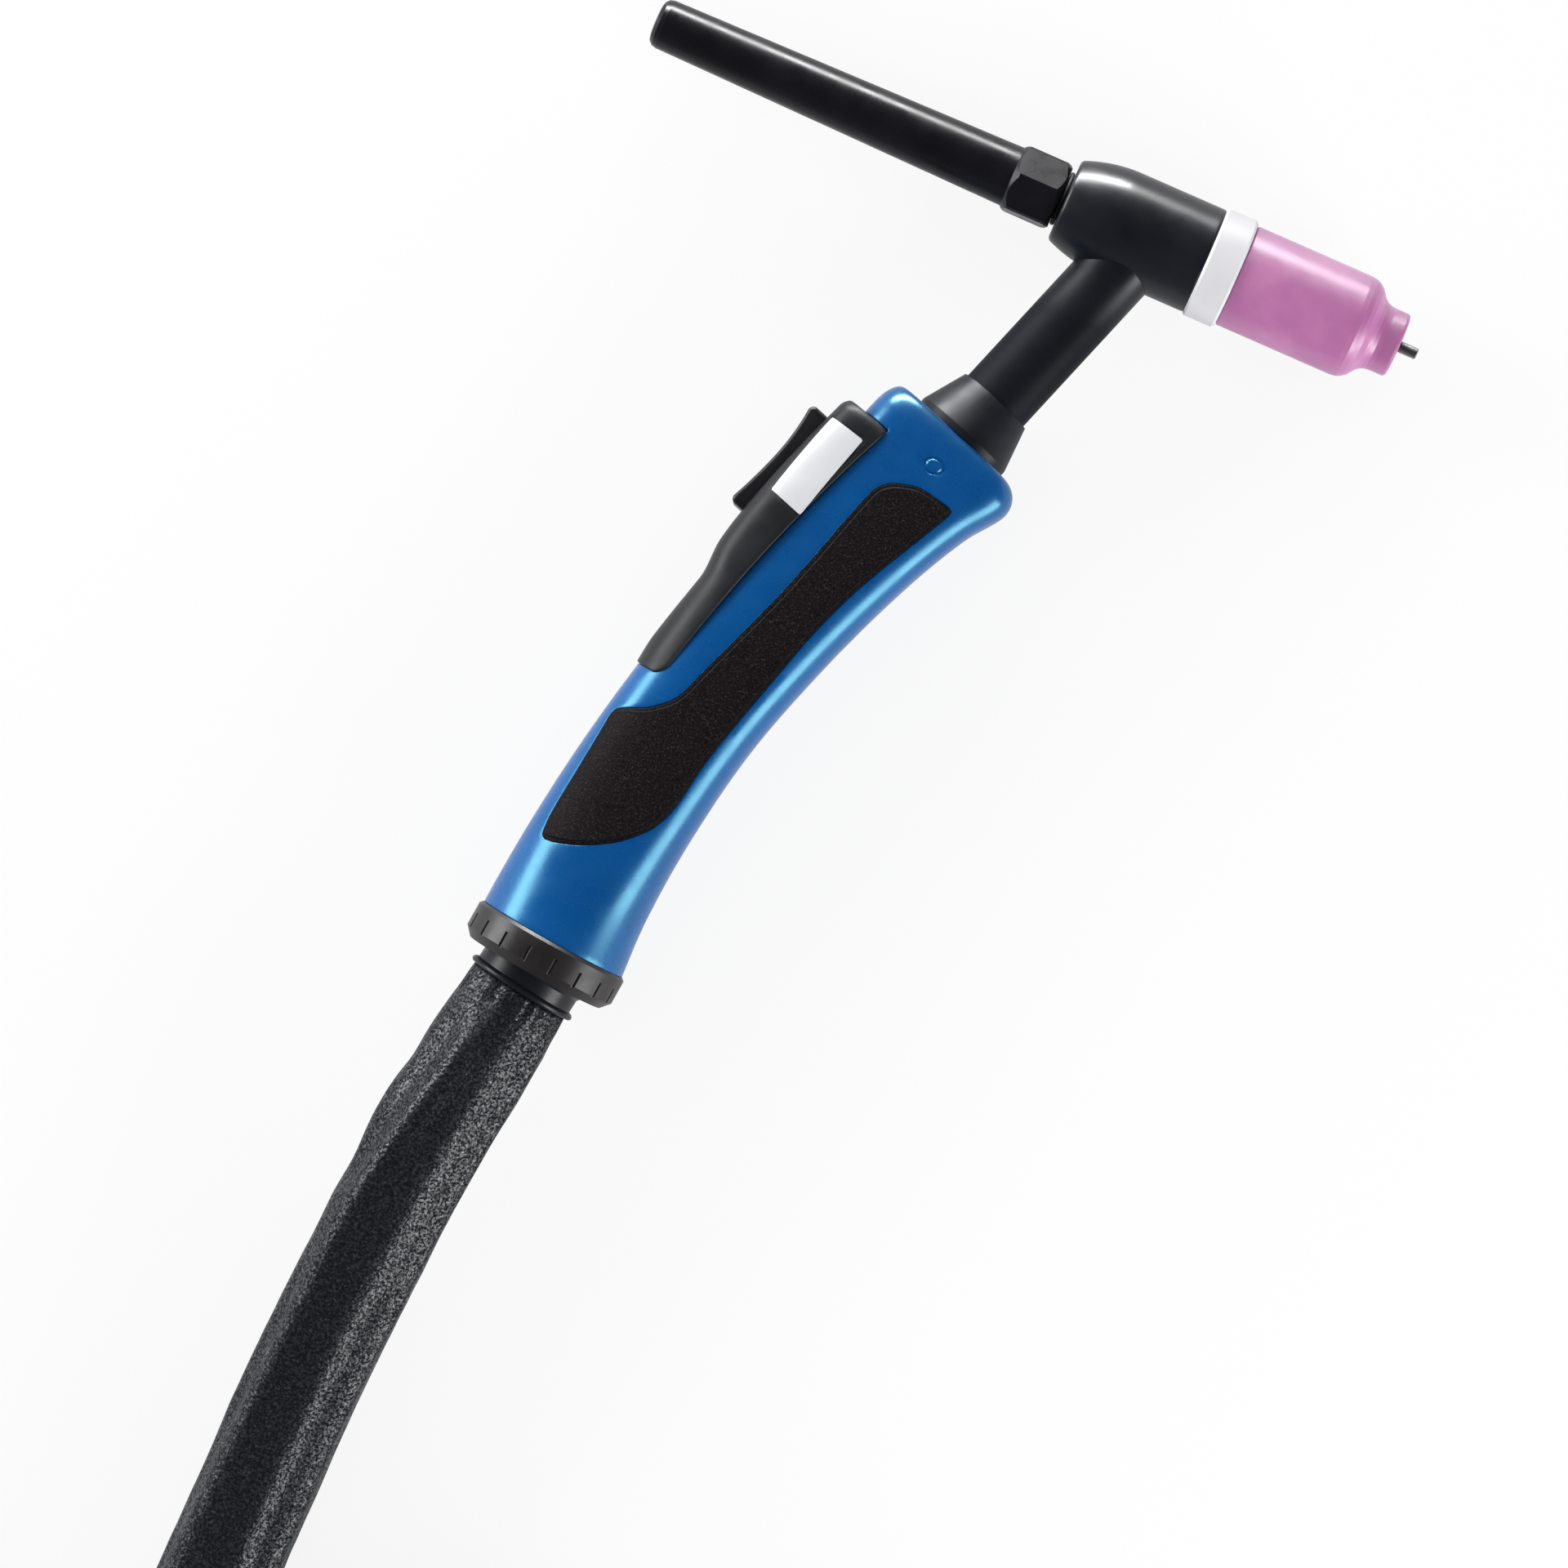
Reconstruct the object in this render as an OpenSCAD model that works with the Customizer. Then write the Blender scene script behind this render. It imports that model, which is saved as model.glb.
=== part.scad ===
// TIG welding torch with a curved pistol grip, long back cap and ball-jointed cable.
//
// The electrode runs along X and its blunt tip is the origin, so +X points at the work.
// The torch lies on its side: the plane that halves it rises by lie_angle towards the
// grip, so that the insulating ring and the rear collar both touch the bench.
// Most modules are written in the torch's own frame: X along the electrode, the grip
// towards -Y, Z across the torch, zero where the plane of symmetry meets the head.

/* [Electrode and collet] */
// Diameter of the tungsten electrode
electrode_d = 3.2; // [2.4:0.1:4]
// Length of the electrode
electrode_len = 175; // [150:1:175]
// How far the electrode stands out of the nozzle
stick_out = 5.8; // [3:0.1:10]
// Outer diameter of the collet
collet_d = 4.6; // [4.4:0.1:5]
// Outer diameter of the collet body where it screws into the head
collet_body_thread_d = 10.4; // [9:0.1:11]
// Outer diameter of the collet body inside the nozzle
collet_body_d = 13; // [12:0.1:14]
// Diameter of the four gas holes in the collet body
gas_hole_d = 2.6; // [2:0.1:3]

/* [Nozzle and insulator] */
// Length of the ceramic nozzle
nozzle_len = 49.2; // [40:0.1:60]
// Outer diameter of the nozzle's body
nozzle_d = 29.6; // [28:0.1:31]
// Outer diameter of the nozzle's mouth
mouth_d = 18.6; // [17:0.1:20]
// Wall of the nozzle at the mouth
mouth_wall = 1.6; // [1:0.1:2.2]
// Diameter of the thread that carries the nozzle
nozzle_thread_d = 18; // [17:0.1:19]
// Outer diameter of the insulating ring
ring_d = 32; // [30:0.1:33]
// Thickness of the insulating ring
ring_len = 9.5; // [7:0.1:12]

/* [Head and neck] */
// Outer diameter of the rubber head
head_d = 30.6; // [29:0.1:32]
// Length of the head in front of its centre
head_front = 21.5; // [20:0.1:24]
// Length of the head behind its centre
head_back = 21; // [20:0.1:24]
// Diameter of the brass core inside the head
core_d = 19; // [18:0.1:20]
// Outer diameter of the neck
neck_d = 21; // [19:0.1:23]
// Angle between the electrode axis and the neck
neck_angle = 71; // [66:0.5:76]
// Where the neck's axis crosses the electrode axis, in front of the head's centre
neck_shift = 4.2; // [2:0.1:5]
// Length of the neck from the electrode axis to the grip
neck_len = 75.3; // [70:0.1:90]
// Outer diameter of the copper tube in the neck
neck_tube_d = 8; // [7:0.1:9]
// Large diameter of the conical collar at the foot of the neck
socket_d = 30.4; // [28:0.1:32]
// Length of the conical collar
socket_len = 14.6; // [10:0.1:18]

/* [Back cap] */
// Length of the cap's stem behind its collar
cap_stem_len = 108; // [100:1:120]
// Diameter of the cap at its closed end
cap_end_d = 14.3; // [13:0.1:15]
// Diameter of the stem beside its collar
cap_root_d = 17.4; // [16:0.1:18]
// Width across the flats of the cap's collar
cap_collar_flats = 18.6; // [18:0.1:20]
// Diameter over the corners of the cap's collar
cap_collar_d = 20.8; // [20:0.1:22]
// Length of the cap's collar
cap_collar_len = 14.6; // [12:0.1:18]
// Diameter of the cap's threaded spigot
cap_spigot_d = 12.4; // [11:0.1:13]
// Gap that the sealing ring fills
cap_gap = 1.4; // [1.2:0.1:2]

/* [Grip] */
// Length of the grip along its curved centre line
grip_len = 182; // [170:1:200]
// How far the centre line turns from front to rear
grip_bend = 21; // [16:1:26]
// Direction of the centre line at the front
grip_front_heading = 64; // [60:1:68]
// Direction of the rear collar's axis
rear_angle = 84.5; // [80:0.5:88]
// Half width of the grip towards the concave side, at its nose
nose_half = 24.8; // [23:0.1:26]
// Half width of the grip towards the concave side, at its waist
waist_half = 18; // [17.5:0.1:20]
// Half width of the grip towards the switch
back_half = 22; // [21.5:0.1:23]
// Thickness of the grip at its front
front_thick = 35.6; // [34:0.1:36]
// Thickness of the grip at its waist
waist_thick = 37; // [36:0.1:38]
// Diameter of the grip at its rear
rear_d = 43.8; // [43:0.1:45]
// Wall of the grip shells
shell_wall = 3; // [2.6:0.1:3.2]
// Rounding of the front edge on the concave side
nose_round = 8; // [5:0.1:10]
// Rounding of the other front edges
front_round = 3.6; // [2:0.1:5]
// Depth of the soft inlay in the shell
inlay_depth = 1.5; // [1:0.1:1.8]
// How far the soft inlay stands proud
inlay_proud = 0.45; // [0.2:0.05:0.6]
// Diameter of the shell screws
shell_screw_d = 3; // [2.5:0.1:3.5]
// Head diameter of the shell screws
shell_screw_head_d = 5.5; // [5:0.1:6]

/* [Switch] */
// Distance from the grip's front to the switch housing
module_start = 14.2; // [12:0.1:16]
// Length of the switch housing along the grip
module_len = 91; // [85:0.5:100]
// Distance from the centre line to the housing's inner edge
module_inner = 14.3; // [13.5:0.1:15.5]
// Distance from the centre line to the housing's outer face at the rocker
module_outer = 28.4; // [28:0.1:29.5]
// How far the housing's flanks stand proud of the shells
module_proud = 0.5; // [0.2:0.1:0.8]
// Wall of the switch housing
module_wall = 2.4; // [2:0.1:2.8]
// Distance from the grip's front to the middle of the rocker
rocker_pos = 39.5; // [38:0.1:41]
// Length of the rocker
rocker_len = 35; // [32:0.1:36]
// Width of the rocker
rocker_w = 17; // [14:0.1:17.4]
// Height of the rocker's front end over the housing
rocker_front_h = 5.2; // [4:0.1:6]
// Height of the rocker's rear end over the housing
rocker_rear_h = 4.2; // [3.6:0.1:5]
// Height of the rocker's hollow over the housing
rocker_mid_h = 3.3; // [2.5:0.1:3.5]
// Diameter of the rocker's pin
rocker_pin_d = 2.5; // [2:0.1:3]
// Distance from the pin to each plunger
plunger_pos = 11; // [9:0.1:12]
// Diameter of the plungers
plunger_d = 3; // [2.4:0.1:3.4]
// Length of a switch body
switch_len = 12; // [10:0.1:12.6]
// Width of a switch body
switch_w = 6; // [5:0.1:8]
// Height of a switch body
switch_h = 6; // [5:0.1:6.4]
// Length of the label plate
label_len = 26.5; // [24:0.1:28]
// Width of the label plate
label_w = 10.7; // [9:0.1:11]

/* [Ball joint] */
// Outer diameter of the rear collar
collar_d = 45.8; // [45.4:0.1:47]
// Length of the rear collar
collar_len = 10.5; // [10:0.1:12]
// Number of grip grooves in the collar
collar_grooves = 18; // [12:1:24]
// Diameter of the ball
ball_d = 37; // [36:0.1:37.4]
// Wall of the liner around the ball
liner_wall = 0.95; // [0.7:0.05:1.1]
// Bore through the ball
ball_bore_d = 25; // [22:0.1:26]
// Diameter of the outlet behind the ball
outlet_d = 29.6; // [28:0.1:30]
// Diameter of the outlet's rim
outlet_rim_d = 32.4; // [31:0.1:33]
// Angle of the outlet to the collar's axis as it lies
outlet_swing = 3.5; // [0:0.5:6]

/* [Cable] */
// Diameter of the leather sleeve
sleeve_d = 34; // [32:0.5:34]
// Diameter of the power cable inside the grip
core_cable_d = 11; // [10:0.1:12]
// Diameter of the control lead inside the grip
control_lead_d = 3.2; // [2.6:0.1:3.6]
// Diameter of the cable behind the sleeve
cable_d = 16; // [14:0.1:16]
// Distance between neighbouring loops of the coil
coil_pitch = 16.7; // [16.6:0.1:18]
// Loops in each of the coil's two layers
coil_loops = 2.1; // [2.1:1:3.1]
// Width of the strap that ties the coil
tie_w = 20; // [12:1:25]
// Thickness of the strap that ties the coil
tie_thick = 1.6; // [1:0.1:2]

/* [Connector] */
// Diameter of the connector's power pin
power_pin_d = 13; // [9:0.1:14]
// Free length of the power pin
power_pin_len = 26; // [20:0.5:30]
// Outer diameter of the connector housing
housing_d = 40; // [38:0.1:44]
// Length of the connector housing
housing_len = 66; // [60:1:75]
// Outer diameter of the union nut
nut_d = 47.4; // [46:0.1:47.6]
// Length of the union nut
nut_len = 26; // [22:0.5:30]
// Number of ribs on the union nut
nut_ribs = 20; // [12:1:24]
// Length of the cable boot
boot_len = 44; // [36:1:55]

/* [Hidden] */
$fn = 64;
fit = 0.05;         // running and sliding fits, each side
gap = 0.3;          // free space between neighbours
eps = 0.01;

// ---- places along the electrode axis ----
nozzle_x = head_front + ring_len;
tip_x = nozzle_x + nozzle_len + stick_out;
cap_x = -head_back - cap_gap;
spigot_end = -8;
core_front = head_front - 1.5;
core_back = -head_back + 2;

// ---- places along the neck and the grip ----
neck_dir = [-cos(neck_angle), -sin(neck_angle)];
function neck_at(s) = [neck_shift, 0] + s * neck_dir;
grip_front = neck_at(neck_len);
spine_r = grip_len / (grip_bend * PI / 180);
function heading(t) = grip_front_heading + grip_bend * t;
function spine(t) = grip_front + spine_r * [
    sin(grip_front_heading) - sin(heading(t)),
    cos(heading(t)) - cos(grip_front_heading)];
function cut_angle(t) = neck_angle + (rear_angle - neck_angle) * t;
function across(t) = [sin(cut_angle(t)), -cos(cut_angle(t))];
// A point s mm behind the grip's front and o mm towards its concave side
function grip_at(s, o) = spine(s / grip_len) + o * across(s / grip_len);

// ---- the grip's widths, as shares of the way from the waist to each end ----
nose_fade = [[0.05, 1], [0.12, 0.65], [0.2, 0.45], [0.3, 0.3], [0.45, 0.13], [0.6, 0]];
rear_rise = [[0.6, 0], [0.75, 0.15], [0.9, 0.5], [1, 1]];
front_swell = [[0, 2.6], [0.08, 1], [0.2, 0], [1, 0]];
thick_rise = [[0.1, 0], [0.5, 1]];
rear_half = rear_d / 2;
function right_half(t) = waist_half + (nose_half - waist_half) * lookup(t, nose_fade)
    + (rear_half - waist_half) * lookup(t, rear_rise);
function left_half(t) = back_half + lookup(t, front_swell)
    + (rear_half - back_half) * lookup(t, rear_rise);
function thick_half(t) = front_thick / 2 + (waist_thick - front_thick) / 2 * lookup(t, thick_rise)
    + (rear_half - waist_thick / 2) * lookup(t, rear_rise);
function squareness(t) = lookup(t, [[0, 4], [0.35, 3.4], [0.7, 2.8], [1, 2]]);

// ---- the switch housing's outer edge and squareness ----
module_end = module_start + module_len;
bulge_at = module_start + 51;
module_flank = [[module_start, 0.8], [rocker_pos + rocker_len / 2, -1.1], [bulge_at, -1.9],
    [bulge_at + 12, -4.7], [module_end - 8, -4.9], [module_end, -5.7]];
function module_left(s) = module_outer + lookup(s, module_flank);
function module_square(s) = lookup(s, [[module_start, 6], [bulge_at, 5], [module_end, 3]]);

ring_sides = 32;
function signed_pow(v, p) = sign(v) * pow(abs(v), p);
// One closed ring of a lofted body: half widths right and left, half thickness, squareness
function loft_ring(centre, dir, right, left, thick, square) = [
    for (i = [0:ring_sides - 1])
        let (a = 360 * i / ring_sides, c = signed_pow(cos(a), 2 / square),
             o = c * (c > 0 ? right : left), z = -thick * signed_pow(sin(a), 2 / square))
        [centre.x + o * dir.x, centre.y + o * dir.y, z]];

// Joins rings of equal size into a closed solid with triangles
module skin(rings) {
    n = len(rings[0]);
    m = len(rings);
    sides = [for (k = [0:m - 2]) for (i = [0:n - 1]) let (j = (i + 1) % n)
        each [[k * n + i, k * n + j, (k + 1) * n + j], [k * n + i, (k + 1) * n + j, (k + 1) * n + i]]];
    front = [for (i = [1:n - 2]) [0, i + 1, i]];
    back = [for (i = [1:n - 2]) [(m - 1) * n, (m - 1) * n + i, (m - 1) * n + i + 1]];
    polyhedron([for (r = rings) each r], concat(sides, front, back));
}

// The grip as one body, grown by grow on every side; the front face stays at face
face = 2;
grip_steps = [0.08, 0.12, 0.16, 0.2, 0.26, 0.34, 0.42, 0.5, 0.58, 0.66, 0.74, 0.82, 0.88, 0.93, 0.97, 1];
module grip_body(grow = 0, start = face) {
    round_steps = [for (a = [0:30:90]) [1 - cos(a), 1 - sin(a)]];
    skin(concat(
        [for (k = round_steps)
            let (t = (start + nose_round * k[0]) / grip_len)
            loft_ring(spine(t), across(t), right_half(0.05) + grow - nose_round * k[1],
                left_half(t) + grow - front_round * k[1], thick_half(t) + grow - front_round * k[1],
                squareness(t))],
        [for (t = grip_steps)
            loft_ring(spine(t), across(t), right_half(t) + grow, left_half(t) + grow,
                thick_half(t) + grow, squareness(t))]));
}

// The switch housing's outer form, as a body of the grip's full width
module module_body(grow = 0) {
    skin([for (s = concat([for (k = [0, 0.4, 1]) module_start + 3 * k],
            [for (k = [0.12, 0.25, 0.38, 0.5, 0.56, 0.62, 0.7, 0.85, 1]) module_start + module_len * k]))
        let (t = s / grip_len, edge = s < module_start + 3 ? (module_start + 3 - s) / 3 : 0,
             bevel = 1.4 * edge * edge)
        loft_ring(spine(t), across(t), right_half(t), module_left(s) + grow - bevel,
            thick_half(t) + module_proud + grow - bevel, module_square(s))]);
}

// The housing's outline seen from the side, its ends and its inner edge moved inwards
module module_outline(ends = 0, inner_edge = 0) {
    inner = [for (s = [module_start + ends, rocker_pos, bulge_at, module_end - 14, module_end - 6 - ends])
        grip_at(s, -module_inner - inner_edge - (s > module_end - 10 ? 0.8 : 0))];
    tail = [for (a = [30:30:90]) grip_at(module_end - 6 - ends + 5 * sin(a),
        -module_inner - inner_edge - 0.8 - 5 * (1 - cos(a)))];
    outer = [grip_at(module_end - 1 - ends, -module_outer - 8),
        grip_at(bulge_at, -module_outer - 8), grip_at(module_start + ends, -module_outer - 8)];
    polygon(concat(inner, tail, outer));
}

// The soft inlay's outline: a rounded front, a tail that turns to the switch side
inlay_start = 19;
inlay_end = 159;
module inlay_outline(inset = 0) {
    front = [[inlay_start + 9, -5.2], [inlay_start + 5, -2.6], [inlay_start + 1.2, 3], [inlay_start, 12.4],
        [inlay_start + 0.7, 14.6]];
    right = [[30, 13.8], [44, 12.3], [56, 11.1], [70, 10.5], [90, 10.6], [104, 10.2], [118, 9.7],
        [130, 10.2], [136, 9.8], [141, 8.2], [145, 5.6], [149, 2.4], [153, -2.6], [156.3, -8]];
    end = [[inlay_end - 0.6, -13], [inlay_end, -16.9]];
    left = [[152, -17.9], [140, -18.2], [128, -18.9], [119.5, -19.8], [117, -16.8], [114, -12],
        [109, -8], [105, -6.6], [98, -5.9], [88, -4.8], [78, -3.9], [66, -3.3], [52, -3.6], [38, -4.6]];
    offset(delta = -inset) polygon([for (p = concat(front, right, end, left))
        grip_at(p[0] * grip_len / 182, p[1])]);
}

module through(h = 80) {
    translate([0, 0, -h / 2]) linear_extrude(h) children();
}

// ---- frames ----
collar_r = collar_d / 2;
rear_centre = spine(1);
rear_dir = [-cos(rear_angle), -sin(rear_angle)];
lie_angle = asin((collar_r - ring_d / 2) / -(rear_centre.y + rear_dir.y));
floor_z = -ring_d / 2;
module torch_frame() {
    rotate([-lie_angle, 0, 0]) translate([-tip_x, 0, 0]) children();
}
// Local Z along +X of the torch
module along_x(x = 0) {
    translate([x, 0, 0]) rotate([0, 90, 0]) children();
}
// Local Z down the neck, from s mm below the electrode axis
module along_neck(s = 0) {
    p = neck_at(s);
    translate([p.x, p.y, 0]) rotate([0, 0, neck_angle]) rotate([0, -90, 0]) children();
}
// Local Z out of the grip's rear, zero at the ball's centre
module rear_frame(swing = 0) {
    translate([rear_centre.x, rear_centre.y, 0]) rotate([0, 0, rear_angle - swing]) rotate([0, -90, 0])
        children();
}
// Local X out of the switch housing, local Y towards the grip's rear
rocker_origin = grip_at(rocker_pos, -module_left(rocker_pos));
module rocker_frame() {
    translate([rocker_origin.x, rocker_origin.y, 0]) rotate([0, 0, neck_angle + 90]) children();
}

function arc(cx, cy, r, from, to, n) = [
    for (i = [0:n]) let (a = from + (to - from) * i / n) [cx + r * cos(a), cy + r * sin(a)]];

// ================= electrode side =================

electrode_r = electrode_d / 2;
electrode_chamfer = 0.3;
collet_r = collet_d / 2;
collet_end = nozzle_x + 22;
body_end = nozzle_x + 33;

module electrode() {
    color("#6d6f73") torch_frame() union() {
        along_x(tip_x - electrode_len) cylinder(h = electrode_len - electrode_chamfer, r = electrode_r);
        along_x(tip_x - electrode_chamfer)
            cylinder(h = electrode_chamfer, r1 = electrode_r, r2 = electrode_r - electrode_chamfer);
    }
}

module collet() {
    slot_len = 22;
    color("#b8763f") torch_frame() difference() {
        along_x(spigot_end + gap) cylinder(h = collet_end - spigot_end - gap, r = collet_r);
        along_x(spigot_end) cylinder(h = collet_end - spigot_end + 1, r = electrode_r + fit);
        for (a = [0, 90]) rotate([a, 0, 0])
            translate([collet_end - slot_len, -0.25, -collet_d]) cube([slot_len + 1, 0.5, 2 * collet_d]);
    }
}

collet_body_back = 2;
body_neck_r = 6.8;
module collet_body() {
    thread_r = collet_body_thread_d / 2;
    shoulder = nozzle_thread_d / 2 - fit;
    body_r = collet_body_d / 2;
    color("#b5793c") torch_frame() difference() {
        along_x() rotate_extrude() polygon([[collet_r + fit, collet_body_back],
            [thread_r, collet_body_back],
            [thread_r, core_front], [body_neck_r, core_front + gap], [body_neck_r, nozzle_x],
            [shoulder, nozzle_x], [shoulder, nozzle_x + 10], [body_r, nozzle_x + 11],
            [body_r, body_end - 6], [3.4, body_end], [electrode_r + 2 * fit, body_end],
            [electrode_r + 2 * fit, collet_end + 1], [collet_r + fit, collet_end + gap]]);
        for (a = [45, 135]) rotate([a, 0, 0])
            translate([nozzle_x + 18, 0, -20]) cylinder(h = 40, d = gas_hole_d);
    }
}

mouth_r = mouth_d / 2;
nozzle_r = nozzle_d / 2;
nozzle_end = nozzle_x + nozzle_len;
mouth_bore_r = mouth_r - mouth_wall;
module gas_nozzle() {
    shoulder_x = nozzle_end - 14.2;
    shoulder_r = 6;
    bend_r = nozzle_r - mouth_r - shoulder_r / 2;
    bend_x = shoulder_x + (shoulder_r + 2 * bend_r) * sin(60);
    outer = concat([[nozzle_r - 0.6, nozzle_x], [nozzle_r, nozzle_x + 0.6]],
        [for (a = [0:15:60]) [nozzle_r - shoulder_r + shoulder_r * cos(a),
            shoulder_x + shoulder_r * sin(a)]],
        [for (a = [45:-15:0]) [mouth_r + 2 * bend_r * (1 - cos(a)), bend_x - 2 * bend_r * sin(a)]],
        [for (a = [0:30:90]) [mouth_r - 0.9 + 0.9 * cos(a), nozzle_end - 0.9 + 0.9 * sin(a)]]);
    inner = [[mouth_bore_r + 0.3, nozzle_end], [mouth_bore_r, nozzle_end - 0.4],
        [mouth_bore_r, bend_x - 2], [nozzle_r - 2.6, shoulder_x], [nozzle_r - 2.6, nozzle_x + 13],
        [nozzle_thread_d / 2, nozzle_x + 11.5], [nozzle_thread_d / 2, nozzle_x]];
    color("#d98a92") torch_frame() along_x() rotate_extrude() polygon(concat(outer, inner));
}

module insulator_ring() {
    r = ring_d / 2;
    color("#ecebe6") torch_frame() along_x() rotate_extrude()
        polygon([[body_neck_r + fit, head_front], [r - 0.7, head_front], [r, head_front + 0.7],
            [r, nozzle_x - 0.7], [r - 0.7, nozzle_x], [body_neck_r + fit, nozzle_x]]);
}

core_boss_d = 13;
core_boss_len = 18;
tube_seat = 11;
module head_core() {
    color("#b08a4a") torch_frame() difference() {
        union() {
            along_x(core_back) cylinder(h = core_front - core_back, d = core_d);
            along_neck(0) cylinder(h = core_boss_len, d = core_boss_d);
        }
        along_x(collet_body_back - eps) cylinder(h = 40, d = collet_body_thread_d + 2 * fit);
        along_x(core_back - 1) cylinder(h = spigot_end + 2 - core_back + 1, d = cap_spigot_d + 2 * fit);
        along_x(spigot_end) cylinder(h = 20, r = collet_r + 0.8);
        along_neck(0) cylinder(h = tube_seat + 1, d = neck_tube_d - 3);
        along_neck(tube_seat) cylinder(h = core_boss_len, d = neck_tube_d + 2 * fit);
    }
}

cover_end = neck_len + 11;
flange_at = neck_len + 5.3;
flange_len = 3;
flange_d = neck_d + 5;
module head_cover() {
    r = head_d / 2;
    shoulder_r = 43;
    shoulder_x = -4;
    outer = concat([[0, -head_back], [r - 4.8, -head_back]],
        [for (a = [160:-20:120]) [r - 4.4 + 1.6 * sin(a - 90), -head_back + 1.6 - 1.6 * sin(a - 70)]],
        [for (x = [-head_back + 1.8, -16, -12, -8, shoulder_x])
            [r - shoulder_r + sqrt(shoulder_r * shoulder_r - pow(x - shoulder_x, 2)), x]],
        [[r, head_front - 0.7], [r - 0.7, head_front], [0, head_front]]);
    color("#232427") torch_frame() difference() {
        union() {
            along_x() rotate_extrude() polygon(outer);
            along_neck(0) cylinder(h = cover_end, d = neck_d);
            along_neck(flange_at) cylinder(h = flange_len, d = flange_d);
        }
        along_x(core_back - fit) cylinder(h = core_front - core_back + 2 * fit, d = core_d + 2 * fit);
        along_x(core_front - 1) cylinder(h = 10, r = body_neck_r + gap);
        along_x(-head_back - 1) cylinder(h = 10, d = cap_spigot_d + 2 * gap);
        along_neck(0) cylinder(h = core_boss_len + fit, d = core_boss_d + 2 * fit);
        along_neck(core_boss_len) cylinder(h = cover_end, d = neck_tube_d + 2 * fit);
    }
}

tube_end = neck_len + 17;
module neck_tube() {
    color("#b8763f") torch_frame() along_neck(tube_seat + 1) difference() {
        cylinder(h = tube_end - tube_seat - 1, d = neck_tube_d);
        translate([0, 0, -1]) cylinder(h = tube_end, d = neck_tube_d - 3);
    }
}

module neck_socket() {
    lip = 0.8;
    color("#1b1b1e") torch_frame() along_neck(neck_len + face - socket_len - fit) difference() {
        union() {
            cylinder(h = socket_len - 2, d1 = neck_d + 2 * lip, d2 = socket_d);
            translate([0, 0, socket_len - 2]) cylinder(h = 2, d = socket_d);
        }
        translate([0, 0, -1]) cylinder(h = socket_len + 2, d = neck_d + 2 * fit);
    }
}

// ================= back cap =================

cap_collar_end = cap_x - cap_collar_len;
cap_end = cap_collar_end - cap_stem_len;
module back_cap() {
    end_r = 2.6;
    bore_r = electrode_r + 0.6;
    color("#17171a") torch_frame() difference() {
        union() {
            along_x(cap_x - 1) cylinder(h = spigot_end - cap_x + 1, d = cap_spigot_d);
            intersection() {
                along_x(cap_collar_end) cylinder(h = cap_collar_len, d = cap_collar_flats / cos(30),
                    $fn = 6);
                along_x() rotate_extrude()
                    polygon([[0, cap_collar_end], [cap_collar_d / 2 - 1.6, cap_collar_end],
                    [cap_collar_d / 2, cap_collar_end + 1.8], [cap_collar_d / 2, cap_x - 1.8],
                    [cap_collar_d / 2 - 1.6, cap_x], [0, cap_x]]);
            }
            along_x() rotate_extrude() polygon(concat([[0, cap_end]],
                [for (a = [0:30:90]) [cap_end_d / 2 - end_r + end_r * sin(a),
                    cap_end + end_r - end_r * cos(a)]],
                [[cap_root_d / 2, cap_collar_end + 1], [0, cap_collar_end + 1]]));
        }
        along_x(cap_end + 7) cylinder(h = -cap_end, r = bore_r);
    }
}

module cap_o_ring() {
    section_r = cap_gap / 2 - fit;
    color("#0c0c0d") torch_frame() along_x(cap_x + cap_gap / 2) rotate_extrude()
        translate([cap_spigot_d / 2 + 0.4 + section_r, 0]) circle(r = section_r, $fn = 24);
}

// ================= grip =================

screw_places = [[24, 18.2], [92, 14], [160, 13]];
screw_head_z = -10.5;
screw_head_h = 2.4;
screw_tip_z = 9;
seam = 0.05;
pocket_r = ball_d / 2 + liner_wall + gap + 0.15;
spigot_r = rear_half - 1;
spigot_len = 5;
liner_r = ball_d / 2 + fit + liner_wall;

module screw_at(p) {
    q = grip_at(p[0] * grip_len / 182, p[1]);
    translate([q.x, q.y, 0]) children();
}

// A slab across the grip between two distances from its front
module grip_slab(from, to) {
    p = spine(from / grip_len);
    translate([p.x, p.y, 0]) rotate([0, 0, neck_angle]) translate([from - to, -60, -60])
        cube([to - from, 120, 120]);
}

// Both shells together, before they are parted at the plane of symmetry
module grip_hollow() {
    difference() {
        union() {
            grip_body();
            rear_frame() translate([0, 0, -1]) cylinder(h = spigot_len + 1, r = spigot_r, $fn = 40);
        }
        difference() {
            grip_body(-shell_wall, face + shell_wall);
            rib();
        }
        rear_frame() rotate_extrude($fn = 40) polygon(concat([[0, -pocket_r]],
            [for (a = [-80:10:-10]) [pocket_r * cos(a), pocket_r * sin(a)]],
            [[pocket_r, 0], [pocket_r - 0.3, 4], [pocket_r - 1.4, spigot_len + 1], [0, spigot_len + 1]]));
        along_neck(neck_len - 5) cylinder(h = 40, d = neck_d + 2 * fit, $fn = 40);
        along_neck(flange_at - gap) cylinder(h = flange_len + 2 * gap, d = flange_d + 2 * gap, $fn = 40);
        through() module_outline(-0.1, -0.1);
    }
}

// The rib behind the neck's flange
module rib() {
    along_neck(flange_at + flange_len + gap) translate([-60, -60, 0]) cube([120, 120, 2.2]);
}

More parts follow.
